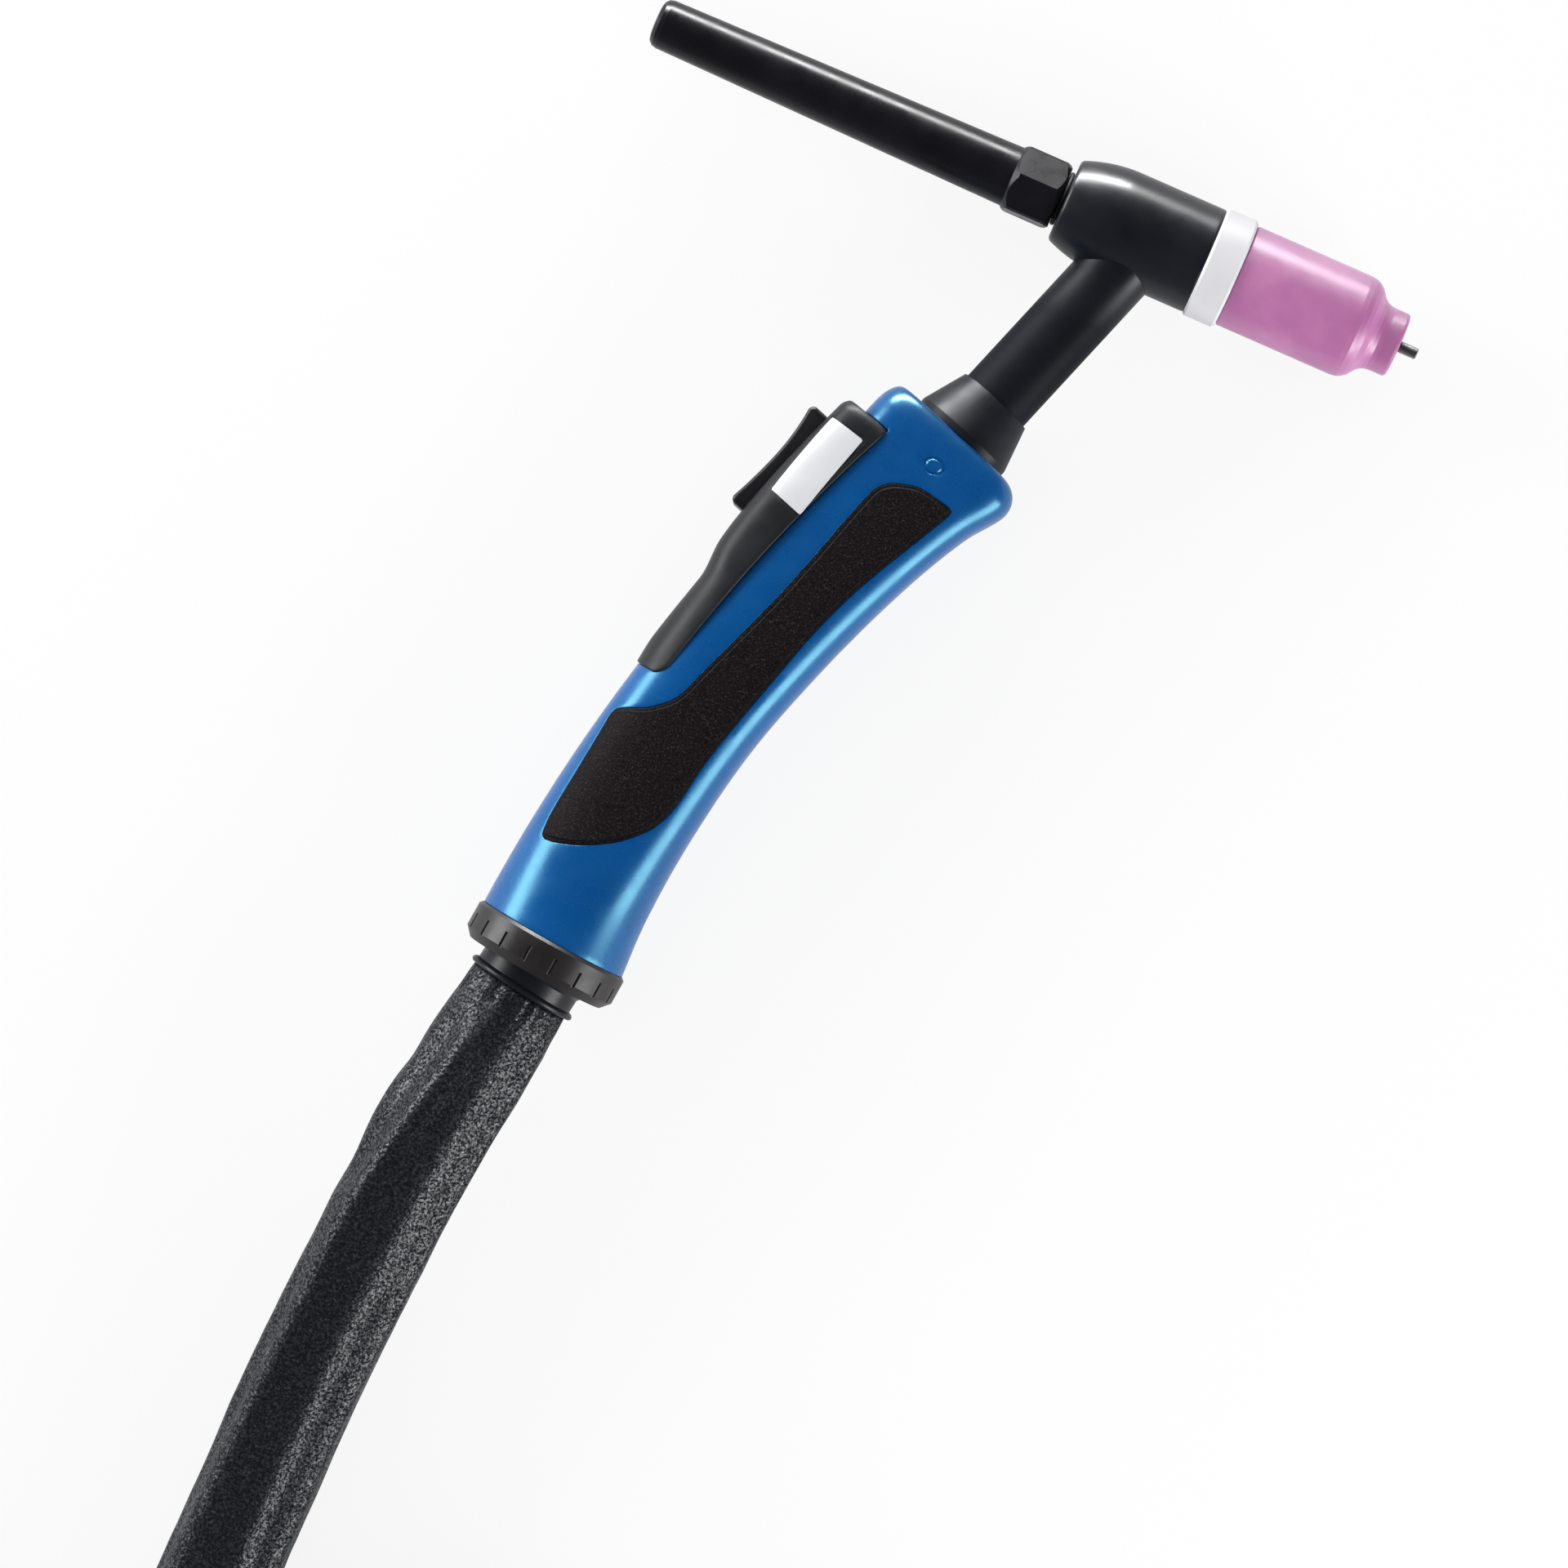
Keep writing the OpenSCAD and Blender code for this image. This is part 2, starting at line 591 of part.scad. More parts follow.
module shell_upper() {
    color("#1c5fb8") torch_frame() difference() {
        intersection() {
            union() {
                difference() {
                    grip_hollow();
                    difference() {
                        linear_extrude(60) inlay_outline(-0.1);
                        grip_body(-inlay_depth - fit);
                    }
                }
                intersection() {
                    grip_body(-shell_wall + 0.5);
                    for (p = screw_places) screw_at(p) translate([0, 0, seam])
                        cylinder(h = 40, r = 3.4, $fn = 20);
                }
            }
            translate([-200, -400, seam]) cube([400, 500, 60]);
        }
        for (p = screw_places) screw_at(p)
            cylinder(h = screw_tip_z + gap, d = shell_screw_d + 2 * fit, $fn = 24);
        mark_recess();
    }
}

// A shallow round mark in the upper shell's nose
module mark_recess() {
    q = grip_at(13.1, 1.4);
    translate([q.x, q.y, thick_half(0.07) - 0.5]) difference() {
        cylinder(h = 3, d = 5, $fn = 24);
        translate([0, 0, -1]) cylinder(h = 5, d = 3.8, $fn = 24);
    }
}

module shell_lower() {
    color("#1c5fb8") torch_frame() difference() {
        intersection() {
            difference() {
                union() {
                    grip_hollow();
                    intersection() {
                        grip_body(-0.4);
                        for (p = screw_places) screw_at(p) translate([0, 0, -40])
                            cylinder(h = 40 - seam, r = 4.4, $fn = 20);
                    }
                }
                difference() {
                    translate([0, 0, -60]) linear_extrude(60) inlay_outline(-0.1);
                    grip_body(-inlay_depth - fit);
                }
            }
            translate([-200, -400, -60 - seam]) cube([400, 500, 60]);
        }
        for (p = screw_places) screw_at(p) {
            translate([0, 0, -30]) cylinder(h = 31, d = shell_screw_d + 0.4, $fn = 20);
            translate([0, 0, -30]) cylinder(h = 30 + screw_head_z, d = shell_screw_head_d + 0.4, $fn = 24);
        }
    }
}

module shell_screws() {
    color("#8d9096") torch_frame() for (p = screw_places) screw_at(p) difference() {
        union() {
            translate([0, 0, screw_head_z]) cylinder(h = screw_tip_z - screw_head_z, d = shell_screw_d);
            translate([0, 0, screw_head_z - screw_head_h])
                cylinder(h = screw_head_h, d = shell_screw_head_d);
        }
        translate([0, 0, screw_head_z - screw_head_h - 1]) cylinder(h = 2.5, d = 2.6, $fn = 6);
    }
}

module inlay() {
    intersection() {
        difference() {
            grip_body(inlay_proud);
            grip_body(-inlay_depth);
        }
        translate([0, 0, seam]) linear_extrude(60) inlay_outline(fit);
    }
}
module inlay_upper() {
    color("#1d1d1f") torch_frame() inlay();
}
module inlay_lower() {
    color("#1d1d1f") torch_frame() mirror([0, 0, 1]) inlay();
}

// ================= switch =================

slot_half = rocker_len / 2 + 0.6;
rocker_depth = 3.6;
pin_depth = 4;
plunger_top = -rocker_depth - 0.2;
switch_top = plunger_top - 2.4;
board_top = switch_top - switch_h - fit;
board_thick = 1.5;
board_half = 19.5;
label_depth = 0.6;
rocker_centre = -0.7;   // the rocker sits a little towards the front of its frame

module label_area(grow = 0) {
    q = grip_at(34, -20.9);
    translate([q.x, q.y, 0]) rotate([0, 0, cut_angle(0.187)])
        square([label_len + 2 * grow, label_w + 2 * grow], center = true);
}

// The housing is open towards the grip, with an eye on each side of the rocker's pin
module module_housing() {
    pin_hole = rocker_w + 6.2;
    color("#161619") torch_frame() difference() {
        union() {
            difference() {
                intersection() {
                    module_body();
                    through() module_outline();
                }
                intersection() {
                    module_body(-module_wall);
                    through() module_outline(module_wall, -2);
                }
            }
            rocker_frame() for (side = [-1, 1])
                translate([-8, rocker_centre - 3.5, side * (rocker_w / 2 + 1.75) - 1.25])
                    cube([7.2, 7, 2.5]);
            rocker_frame() for (side = [-1, 1])
                translate([board_top - board_thick,
                    rocker_centre + side * (board_half + gap + 1) - 1, -15.6])
                    cube([7, 2, 31.2]);
        }
        rocker_frame() translate([-6, rocker_centre - slot_half, -rocker_w / 2 - gap])
            cube([16, 2 * slot_half, rocker_w + 2 * gap]);
        rocker_frame() translate([-pin_depth, rocker_centre, -pin_hole / 2])
            cylinder(h = pin_hole, d = rocker_pin_d + 2 * fit);
        difference() {
            through() label_area(0.1);
            module_body(-label_depth - fit);
        }
    }
}

module label_plate() {
    intersection() {
        difference() {
            module_body(0.1);
            module_body(-label_depth);
        }
        linear_extrude(60) label_area(0);
    }
}
module label_upper() {
    color("#c9ccd0") torch_frame() label_plate();
}
module label_lower() {
    color("#c9ccd0") torch_frame() mirror([0, 0, 1]) label_plate();
}

module rocker() {
    half = rocker_len / 2;
    reach = half - 1.6;
    function height(y) = rocker_mid_h
        + (y < 0 ? rocker_front_h - rocker_mid_h : rocker_rear_h - rocker_mid_h) * pow(y / reach, 2);
    top = [for (k = [-1:0.125:1]) [height(k * reach), k * reach]];
    outline = concat([[-rocker_depth, -half + 1.2], [-1.2, -half], [rocker_front_h - 1.3, -half],
        [rocker_front_h - 0.4, -half + 0.5]], top,
        [[rocker_rear_h - 0.4, half - 0.5], [rocker_rear_h - 1.3, half], [-1.2, half],
        [-rocker_depth, half - 1.2]]);
    color("#0e0e10") torch_frame() rocker_frame() translate([0, rocker_centre, 0]) difference() {
        union() {
            translate([0, 0, -rocker_w / 2]) linear_extrude(rocker_w) polygon(outline);
            translate([-pin_depth, 0, -rocker_w / 2]) cylinder(h = rocker_w, r = 2.6);
        }
        translate([-pin_depth, 0, -20]) cylinder(h = 40, d = rocker_pin_d + 2 * fit);
    }
}

module rocker_pin() {
    len = rocker_w + 5.6;
    color("#a9acb2") torch_frame() rocker_frame() translate([-pin_depth, rocker_centre, -len / 2])
        cylinder(h = len, d = rocker_pin_d);
}

module switch_block(side) {
    color("#2b2f38") torch_frame() rocker_frame()
        translate([switch_top - switch_h, rocker_centre + side * plunger_pos, 0]) difference() {
            translate([0, -switch_len / 2, -switch_w / 2]) cube([switch_h, switch_len, switch_w]);
            translate([switch_h - 4.6, 0, 0]) rotate([0, 90, 0]) cylinder(h = 8, d = plunger_d + 2 * fit);
        }
}
module switch_front() { switch_block(-1); }
module switch_rear() { switch_block(1); }

module plunger(side) {
    len = 5.4;
    color("#c9402f") torch_frame() rocker_frame()
        translate([plunger_top - len, rocker_centre + side * plunger_pos, 0]) rotate([0, 90, 0])
            cylinder(h = len, d = plunger_d);
}
module plunger_front() { plunger(-1); }
module plunger_rear() { plunger(1); }

module switch_board() {
    color("#2f6b46") torch_frame() rocker_frame()
        translate([board_top - board_thick, rocker_centre - board_half, -9])
            cube([board_thick, 2 * board_half, 18]);
}

// ================= inside the grip =================

// A tube of given radius along a route; radius may be one number or one for each point
module tube(route, radius, sides, first = undef, last = undef) {
    n = len(route);
    function unit(v) = v / norm(v);
    function along(i) = i == 0 ? (is_undef(first) ? unit(route[1] - route[0]) : first)
        : i == n - 1 ? (is_undef(last) ? unit(route[n - 1] - route[n - 2]) : last)
        : unit(unit(route[i + 1] - route[i]) + unit(route[i] - route[i - 1]));
    skin([for (i = [0:n - 1])
        let (d = along(i), s = unit(cross(d, [0, 0, 1])), u = cross(s, d),
             r = is_list(radius) ? radius[i] : radius)
        [for (k = [0:sides - 1]) let (a = 360 * (k + 0.5) / sides)
            route[i] + r * (cos(a) * s + sin(a) * u)]]);
}

function flat3(p) = [p.x, p.y, 0];
ferrule_at = cover_end + gap;
ferrule_len = 20;
ferrule_d = 13;
module cable_ferrule() {
    color("#c07a45") torch_frame() along_neck(ferrule_at) difference() {
        cylinder(h = ferrule_len, d = ferrule_d);
        translate([0, 0, -1]) cylinder(h = tube_end - ferrule_at + 1 + fit, d = neck_tube_d + 2 * fit);
        translate([0, 0, tube_end - ferrule_at + 1]) cylinder(h = 30, d = core_cable_d + 2 * fit);
        translate([0, 0, -1]) cylinder(h = 30, d = neck_tube_d - 3);
    }
}

outlet_end = 16.8;
outlet_dir = [-cos(rear_angle - outlet_swing), -sin(rear_angle - outlet_swing)];
function outlet_at(l) = rear_centre + l * outlet_dir;
module power_cable() {
    route = concat([for (s = [tube_end + 1.5, ferrule_at + ferrule_len]) flat3(neck_at(s))],
        [for (t = [0.3, 0.4, 0.5, 0.6, 0.68, 0.76, 0.84, 0.92]) flat3(spine(t))],
        [flat3(rear_centre), flat3(outlet_at(outlet_end - gap))]);
    color("#26262a") torch_frame() tube(route, core_cable_d / 2, 10);
}

saddle_t = 0.68;
saddle_len = 9;
saddle_half = 7.6;
module saddle_frame() {
    p = spine(saddle_t);
    translate([p.x, p.y, 0]) rotate([0, 0, heading(saddle_t)]) rotate([0, -90, 0]) children();
}
module cable_saddle() {
    reach = thick_half(saddle_t) - shell_wall - gap - 1.2;
    color("#3a3a3e") torch_frame() saddle_frame() difference() {
        translate([-reach, -saddle_half, -saddle_len / 2]) cube([2 * reach, 2 * saddle_half, saddle_len]);
        translate([0, 0, -20]) cylinder(h = 40, d = core_cable_d + 2 * fit + 0.1);
    }
}

module control_lead() {
    lead_o = core_cable_d / 2 + control_lead_d / 2 + gap;
    saddle_s = saddle_t * grip_len - saddle_len / 2 - gap;
    back = board_top - board_thick - fit;
    start = rocker_origin + rotated([back, 12]);
    route = [flat3(start), flat3(start + rotated([-2.2, 0.2])), flat3(start + rotated([-4.2, 1.8])),
        flat3(start + rotated([-5.2, 5])), flat3(grip_at(66, -lead_o - 0.3)),
            flat3(grip_at(78, -lead_o)), flat3(grip_at(90, -lead_o)), flat3(grip_at(104, -lead_o)),
        flat3(grip_at(saddle_s, -lead_o))];
    color("#8a8d92") torch_frame() tube(route, control_lead_d / 2, 8, flat3(rotated([-1, 0])));
}
function rotated(v) = [v.x * cos(neck_angle + 90) - v.y * sin(neck_angle + 90),
    v.x * sin(neck_angle + 90) + v.y * cos(neck_angle + 90)];

// ================= ball joint =================

collar_lip = 7;
module rear_collar() {
    seat_r = liner_r + fit;
    groove_r = 0.65;
    mouth_r2 = sqrt(seat_r * seat_r - collar_lip * collar_lip) + 1.1;
    color("#1d1a1b") torch_frame() rear_frame() difference() {
        rotate_extrude() polygon([[spigot_r + fit, fit], [collar_r - 0.9, fit], [collar_r, 0.9],
            [collar_r, collar_len - 2.6], [collar_r - 2.3, collar_len], [mouth_r2, collar_len],
            [mouth_r2 - 1.1, collar_lip], [10, collar_lip], [10, spigot_len + gap],
            [spigot_r + fit, spigot_len + gap]]);
        sphere(r = seat_r);
        for (i = [0:collar_grooves - 1]) rotate([0, 0, (i + 0.5) * 360 / collar_grooves])
            translate([collar_r + 0.15, 0, 3.6]) cylinder(h = collar_len, r = groove_r, $fn = 16);
    }
}

module ball_liner() {
    color("#d7d3c8") torch_frame() rear_frame(outlet_swing) difference() {
        intersection() {
            sphere(r = liner_r);
            translate([0, 0, -5]) cylinder(h = 9.2, r = 30);
        }
        sphere(r = ball_d / 2 + fit);
    }
}

module ball_outlet() {
    rim_r = outlet_rim_d / 2;
    color("#141416") torch_frame() rear_frame(outlet_swing) difference() {
        union() {
            intersection() {
                sphere(d = ball_d);
                translate([0, 0, -9]) cylinder(h = 20.2, r = 30);
            }
            rotate_extrude() polygon([[0, 10], [outlet_d / 2, 10.9], [outlet_d / 2, outlet_end - 1.9],
                [rim_r - 0.4, outlet_end - 1.5], [rim_r, outlet_end - 1], [rim_r, outlet_end - 0.4],
                [rim_r - 0.4, outlet_end], [0, outlet_end]]);
        }
        translate([0, 0, -20]) cylinder(h = 60, d = ball_bore_d);
    }
}

// ================= cable on the bench =================

// A point of the torch's plane, in the frame of the bench
function lie(p) = [p.x - tip_x, p.y * cos(lie_angle), -p.y * sin(lie_angle)];
sleeve_r = sleeve_d / 2;
cuff_len = 38;
outlet_lie = lie(rear_centre + outlet_dir) - lie(rear_centre);
cuff_start = lie(outlet_at(outlet_end + fit));
cuff_end = cuff_start + cuff_len * outlet_lie;
coil_x = -30;
coil_y = -545;
sleeve_bend = 140;
module sleeve_cuff() {
    color("#1e1d1d") tube([for (k = [0, 0.12, 0.35, 0.65, 1]) cuff_start + k * cuff_len * outlet_lie],
        [for (k = [14.9, 15.1, 15.9, 16.6, 17]) k * sleeve_d / 34], 12, outlet_lie, outlet_lie);
}

// The sleeve's route behind its cuff: down to the bench, then round the coil
sleeve_route = [[-164.7, -312, 8.4], [-165.9, -326, 8], [-166.9, -342, 7], [-167.8, -360, 5.5],
    [-168.6, -380, 3.8], [-169.2, -402, 2.4], [-169.6, -426, 1.4], [-169.8, -455, 1], [-169.8, -485, 1],
    [-169.8, -515, 1], [-169.8, -545, 1], [-166.8, -574, 1], [-158, -602, 1], [-143, -627, 1],
    [-124, -649, 1], [-100, -666, 1], [-73, -678, 1.2], [-50, -683.6, 1.4]];
sleeve_stop = [-30, -685, 1.4];
module leather_sleeve() {
    route = concat([cuff_end], sleeve_route, [sleeve_stop]);
    n = len(route);
    radii = [for (i = [0:n - 1]) i < n - 2 ? sleeve_r : i == n - 2 ? sleeve_r - 0.4 : sleeve_r - 0.9];
    color("#1e1d1d") tube(route, radii, 12, outlet_lie, [1, 0, 0]);
}

module along_bench_x(p) {
    translate(p) rotate([0, 90, 0]) children();
}
end_ring_len = 34;
cable_r = cable_d / 2;
module sleeve_end_ring() {
    wall = 0.6;
    r = sleeve_r - 0.2 + wall;
    color("#242427") along_bench_x(sleeve_stop + [-5, 0, 0]) rotate_extrude()
        polygon([[sleeve_r - 0.2, 0], [r, 0], [r, 9], [cable_r + 2.2, end_ring_len],
            [cable_r + fit, end_ring_len], [cable_r + fit, 5 + fit], [sleeve_r - 0.2, 5 + fit]]);
}

coil_start_angle = 20;
function coil_r_out() = 114;
coil_turns = 2 * coil_loops + 0.5;
coil_floor = floor_z + tie_thick + 0.2 + cable_r;
coil_step = cable_d + 0.6;
function smooth(k) = let (c = max(0, min(1, k))) c * c * (3 - 2 * c);
function coil_radius(u) = coil_r_out() - coil_pitch * (coil_turns / 2 - abs(u - coil_turns / 2));
function coil_at(u) = let (a = coil_start_angle + 360 * u, r = coil_radius(u))
    [coil_x + r * cos(a), coil_y + r * sin(a),
     coil_floor + coil_step * smooth((u - coil_loops) / 0.5)];
function flat_unit(v) = [v.x, v.y, 0] / norm([v.x, v.y]);
coil_in = flat_unit(coil_at(0.001) - coil_at(0));
coil_out = flat_unit(coil_at(coil_turns) - coil_at(coil_turns - 0.001));

run_route = [[-14, -685, 1.4], [0, -685, 1.4], [13, -683, 0.5], [31, -676.2, -2.6], [48, -666.2, -5.2],
    [65, -651, -7.4],
    [80.5, -630.5, -8], [91, -607, -8], [94.8, -582, -8], [93.5, -557, -7.8], [88.5, -532, -7]];
module cable_run() {
    start = sleeve_stop + [fit, 0, 0];
    color("#1a1a1c") tube(concat([start], run_route, [coil_at(0)]), cable_r, 10,
        [1, 0, 0], coil_in);
}

loop_rings = 24;
coil_route = [for (i = [0:round(coil_turns * loop_rings)])
    coil_at(i * coil_turns / round(coil_turns * loop_rings))];
module cable_coil() {
    color("#1a1a1c") tube(coil_route, cable_r, 6, coil_in, coil_out);
}
coil_gap = min([for (i = [0:2:len(coil_route) - 1]) for (j = [i + 16:len(coil_route) - 1])
    norm(coil_route[i] - coil_route[j])]) - cable_d;
echo(coil_gap_mm = coil_gap);

tail_route = [[-6, -658, 10.4], [14, -654.4, 10.2], [35, -648.5, 9.8], [55, -639.4, 9.4], [75, -627, 9.2],
    [93, -610.5, 9], [108, -590, 8.6], [117.6, -566, 8.2], [120, -545, 8]];
plug_x = 120;
plug_y = -501;
plug_z = floor_z + nut_d / 2 + gap;
module cable_tail() {
    color("#1a1a1c") tube(concat([coil_at(coil_turns)], tail_route, [[plug_x, plug_y - fit, plug_z]]),
        cable_r, 10,
        coil_out, [0, 1, 0]);
}

// Two straps round the coil, each as wide as the loops that it holds
module coil_ties() {
    slack = 1;
    color("#3b3b40") for (a = [140, 320]) {
        passes = [for (k = [0:ceil(coil_turns)]) let (u = (a - coil_start_angle) / 360 + k)
            if (u <= coil_turns) coil_radius(u)];
        low = min(passes) - cable_r - slack;
        high = max(passes) + cable_r + slack;
        top = coil_floor + coil_step + cable_r + 0.2;
        bottom = floor_z + tie_thick;
        translate([coil_x, coil_y, 0]) rotate([0, 0, a]) translate([0, tie_w / 2, 0]) rotate([90, 0, 0])
            linear_extrude(tie_w) difference() {
                translate([low - tie_thick, bottom - tie_thick])
                    square([high - low + 2 * tie_thick, top - bottom + 2 * tie_thick]);
                translate([low, bottom]) square([high - low, top - bottom]);
            }
    }
}

// ================= connector =================

// Local Z along the plug, zero at the housing's rear face
module plug_frame(z = 0) {
    translate([plug_x, plug_y + z, plug_z]) rotate([-90, 0, 0]) children();
}
housing_r = housing_d / 2;
front_r = 17.5;
flange_z = 40;
flange_w = 4;
plug_body_len = 30;
plug_face = housing_len + 2;

module connector_boot() {
    color("#111113") plug_frame(-boot_len) rotate_extrude() polygon([[cable_r + fit, 0], [cable_r + 1.8, 0],
        [cable_r + 2.6, 1], [housing_r - 4, boot_len - 6], [housing_r - 3, boot_len - fit],
        [cable_r + fit, boot_len - fit]]);
}

module connector_housing() {
    color("#1f2023") plug_frame() rotate_extrude() polygon([[cable_r - 3, 0], [housing_r - 1.5, 0],
        [housing_r, 2], [housing_r, flange_z], [-floor_z + plug_z, flange_z],
            [-floor_z + plug_z, flange_z + flange_w],
        [front_r, flange_z + flange_w], [front_r, housing_len], [front_r - 2.4, housing_len],
        [front_r - 2.4, 8], [cable_r - 3, 8]]);
}

module union_nut() {
    r = nut_d / 2;
    start = flange_z + flange_w + gap;
    color("#2a2b2f") plug_frame(start) difference() {
        rotate_extrude() polygon([[front_r + 2 * fit, 0], [r - 1, 0], [r, 1], [r, nut_len - 1.2],
            [r - 1.2, nut_len], [front_r + 3, nut_len], [front_r + 3, 6], [front_r + 2 * fit, 6]]);
        for (i = [0:nut_ribs - 1]) rotate([0, 0, 360 * i / nut_ribs])
            translate([r + 0.7, 0, 3]) cylinder(h = nut_len, r = 1.7, $fn = 20);
    }
}

pin_back = plug_face - plug_body_len + 4;
module plug_body() {
    r = front_r - 2.4 - fit;
    color("#39393d") plug_frame() difference() {
        union() {
            translate([0, 0, plug_face - plug_body_len]) cylinder(h = plug_body_len - 2, r = r);
            translate([0, 0, plug_face - 2 + fit]) cylinder(h = 2, r = front_r);
            translate([0, 0, plug_face - 3]) cylinder(h = 3, r = r);
        }
        translate([0, 0, pin_back]) cylinder(h = plug_body_len, d = power_pin_d - 2 + 2 * fit);
        contact_places() translate([0, 0, plug_face - 14]) cylinder(h = 30, d = 2.4 + 2 * fit);
    }
}

module contact_places() {
    for (side = [-1, 1]) rotate([0, 0, side * 35]) translate([11.4, 0, 0]) children();
}

module power_pin() {
    tip = plug_face + power_pin_len;
    color("#c19a4b") plug_frame() difference() {
        union() {
            translate([0, 0, pin_back + fit]) cylinder(h = tip - 2 - pin_back, d = power_pin_d - 2);
            translate([0, 0, plug_face + 1]) cylinder(h = power_pin_len - 2, d = power_pin_d);
            translate([0, 0, tip - 1]) cylinder(h = 1, d1 = power_pin_d, d2 = power_pin_d - 2);
        }
        translate([0, 0, pin_back - 1]) cylinder(h = 80, d = 4);
    }
}

module contact_pins() {
    color("#c9a85a") plug_frame() contact_places() translate([0, 0, plug_face - 13])
        cylinder(h = 19, d = 2.4);
}

electrode();
collet();
collet_body();
gas_nozzle();
insulator_ring();
head_core();
head_cover();
neck_tube();
neck_socket();
back_cap();
cap_o_ring();
shell_upper();
shell_lower();
shell_screws();
inlay_upper();
inlay_lower();
module_housing();
label_upper();
label_lower();
rocker();
rocker_pin();
switch_front();
switch_rear();
plunger_front();
plunger_rear();
switch_board();
control_lead();
cable_ferrule();
power_cable();
cable_saddle();
rear_collar();
ball_liner();
ball_outlet();
sleeve_cuff();
leather_sleeve();
sleeve_end_ring();
cable_run();
cable_coil();
cable_tail();
coil_ties();
connector_boot();
connector_housing();
union_nut();
plug_body();
power_pin();
contact_pins();
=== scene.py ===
from math import acos, asin, ceil, cos, hypot, pi, radians as rad, sin, sqrt, tan

import bmesh
import bpy
import numpy as np
from numpy.linalg import norm
from mathutils import Matrix, Vector
from mathutils.geometry import convex_hull_2d, delaunay_2d_cdt


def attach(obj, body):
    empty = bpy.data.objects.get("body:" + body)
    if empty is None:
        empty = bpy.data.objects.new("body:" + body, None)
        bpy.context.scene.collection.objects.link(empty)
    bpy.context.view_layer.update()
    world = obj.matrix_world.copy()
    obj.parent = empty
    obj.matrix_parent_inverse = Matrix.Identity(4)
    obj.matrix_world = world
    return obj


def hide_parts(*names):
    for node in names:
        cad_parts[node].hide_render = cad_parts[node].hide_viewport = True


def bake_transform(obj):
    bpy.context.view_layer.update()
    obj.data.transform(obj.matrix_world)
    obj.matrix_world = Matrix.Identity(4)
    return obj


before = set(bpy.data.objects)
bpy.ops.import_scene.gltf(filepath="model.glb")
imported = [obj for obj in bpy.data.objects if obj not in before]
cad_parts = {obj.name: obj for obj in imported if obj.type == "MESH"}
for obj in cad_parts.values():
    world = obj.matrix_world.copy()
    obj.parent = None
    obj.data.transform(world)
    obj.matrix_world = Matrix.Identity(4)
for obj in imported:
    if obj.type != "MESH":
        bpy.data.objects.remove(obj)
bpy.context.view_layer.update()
scene = bpy.context.scene
MM = 0.001

# ---------- frames of the torch
# Millimetres and degrees. The electrode lies along x, the torch in the plane z = 0.
TIP_X = 86
NECK = 71
NECK_SHIFT, NECK_LEN = 4.2, 75.3
GRIP_LEN, GRIP_BEND, FRONT_HEADING, REAR_ANGLE = 182, 21, 64, 84.5
COLLAR_R, RING_R = 22.9, 16
SPINE_R = GRIP_LEN / rad(GRIP_BEND)


def down(angle):
    """Direction in the torch's plane, by its angle to the electrode."""
    return -np.array([cos(rad(angle)), sin(rad(angle))])


GRIP_FRONT = np.array([NECK_SHIFT, 0]) + NECK_LEN * down(NECK)


def spine(t):
    """Point of the grip's centre line, t from 0 at the front to 1 at the rear."""
    h = np.radians(FRONT_HEADING + GRIP_BEND * np.asarray(t, float))
    h0 = rad(FRONT_HEADING)
    return np.stack([GRIP_FRONT[0] + SPINE_R * (sin(h0) - np.sin(h)),
                     GRIP_FRONT[1] + SPINE_R * (np.cos(h) - cos(h0))], -1)


def cut_angle(t):
    """Angle of the grip's cross section at t."""
    return NECK + (REAR_ANGLE - NECK) * t


REAR = spine(1)
# the torch rests on its insulating ring and its rear collar
LIE = asin((COLLAR_R - RING_R) / -(REAR[1] + down(REAR_ANGLE)[1]))


def row(points):
    """Torch frame in millimetres to the row frame in metres."""
    p = np.asarray(points, float)
    x, y, z = p[..., 0] - TIP_X, p[..., 1], p[..., 2]
    c, s = cos(LIE), sin(LIE)
    return np.stack([x, y * c + z * s, -y * s + z * c], -1) * MM


TORCH = Matrix.Rotation(-LIE, 4, "X") @ Matrix.Translation((-TIP_X * MM, 0, 0))

# ---------- camera
def placed(name, data):
    """A new object in the scene."""
    obj = bpy.data.objects.new(name, data)
    scene.collection.objects.link(obj)
    return obj


AIM = (-27.2, -180.3)
CAM_DISTANCE, HALF_VIEW, SENSOR = 1600, 218.2, 36
IMAGE_RIGHT, IMAGE_UP = Vector((0.9157, 0.4019, 0)), Vector((-0.4019, 0.9157, 0))

cam_data = bpy.data.cameras.new("camera")
cam_data.sensor_fit = "HORIZONTAL"
cam_data.sensor_width = SENSOR
cam_data.lens = SENSOR / 2 * CAM_DISTANCE / HALF_VIEW
cam_data.clip_end = 20
cam = placed("camera", cam_data)
turn = Matrix((IMAGE_RIGHT, IMAGE_UP, (0, 0, 1))).transposed().to_4x4()
cam.matrix_world = TORCH @ Matrix.Translation(Vector((*AIM, CAM_DISTANCE)) * MM) @ turn
scene.camera = cam


# ---------- materials
def srgb(r, g, b):
    """8-bit display colour to linear."""
    return tuple(((c / 255 + 0.055) / 1.055) ** 2.4 if c > 10 else c / 255 / 12.92 for c in (r, g, b))


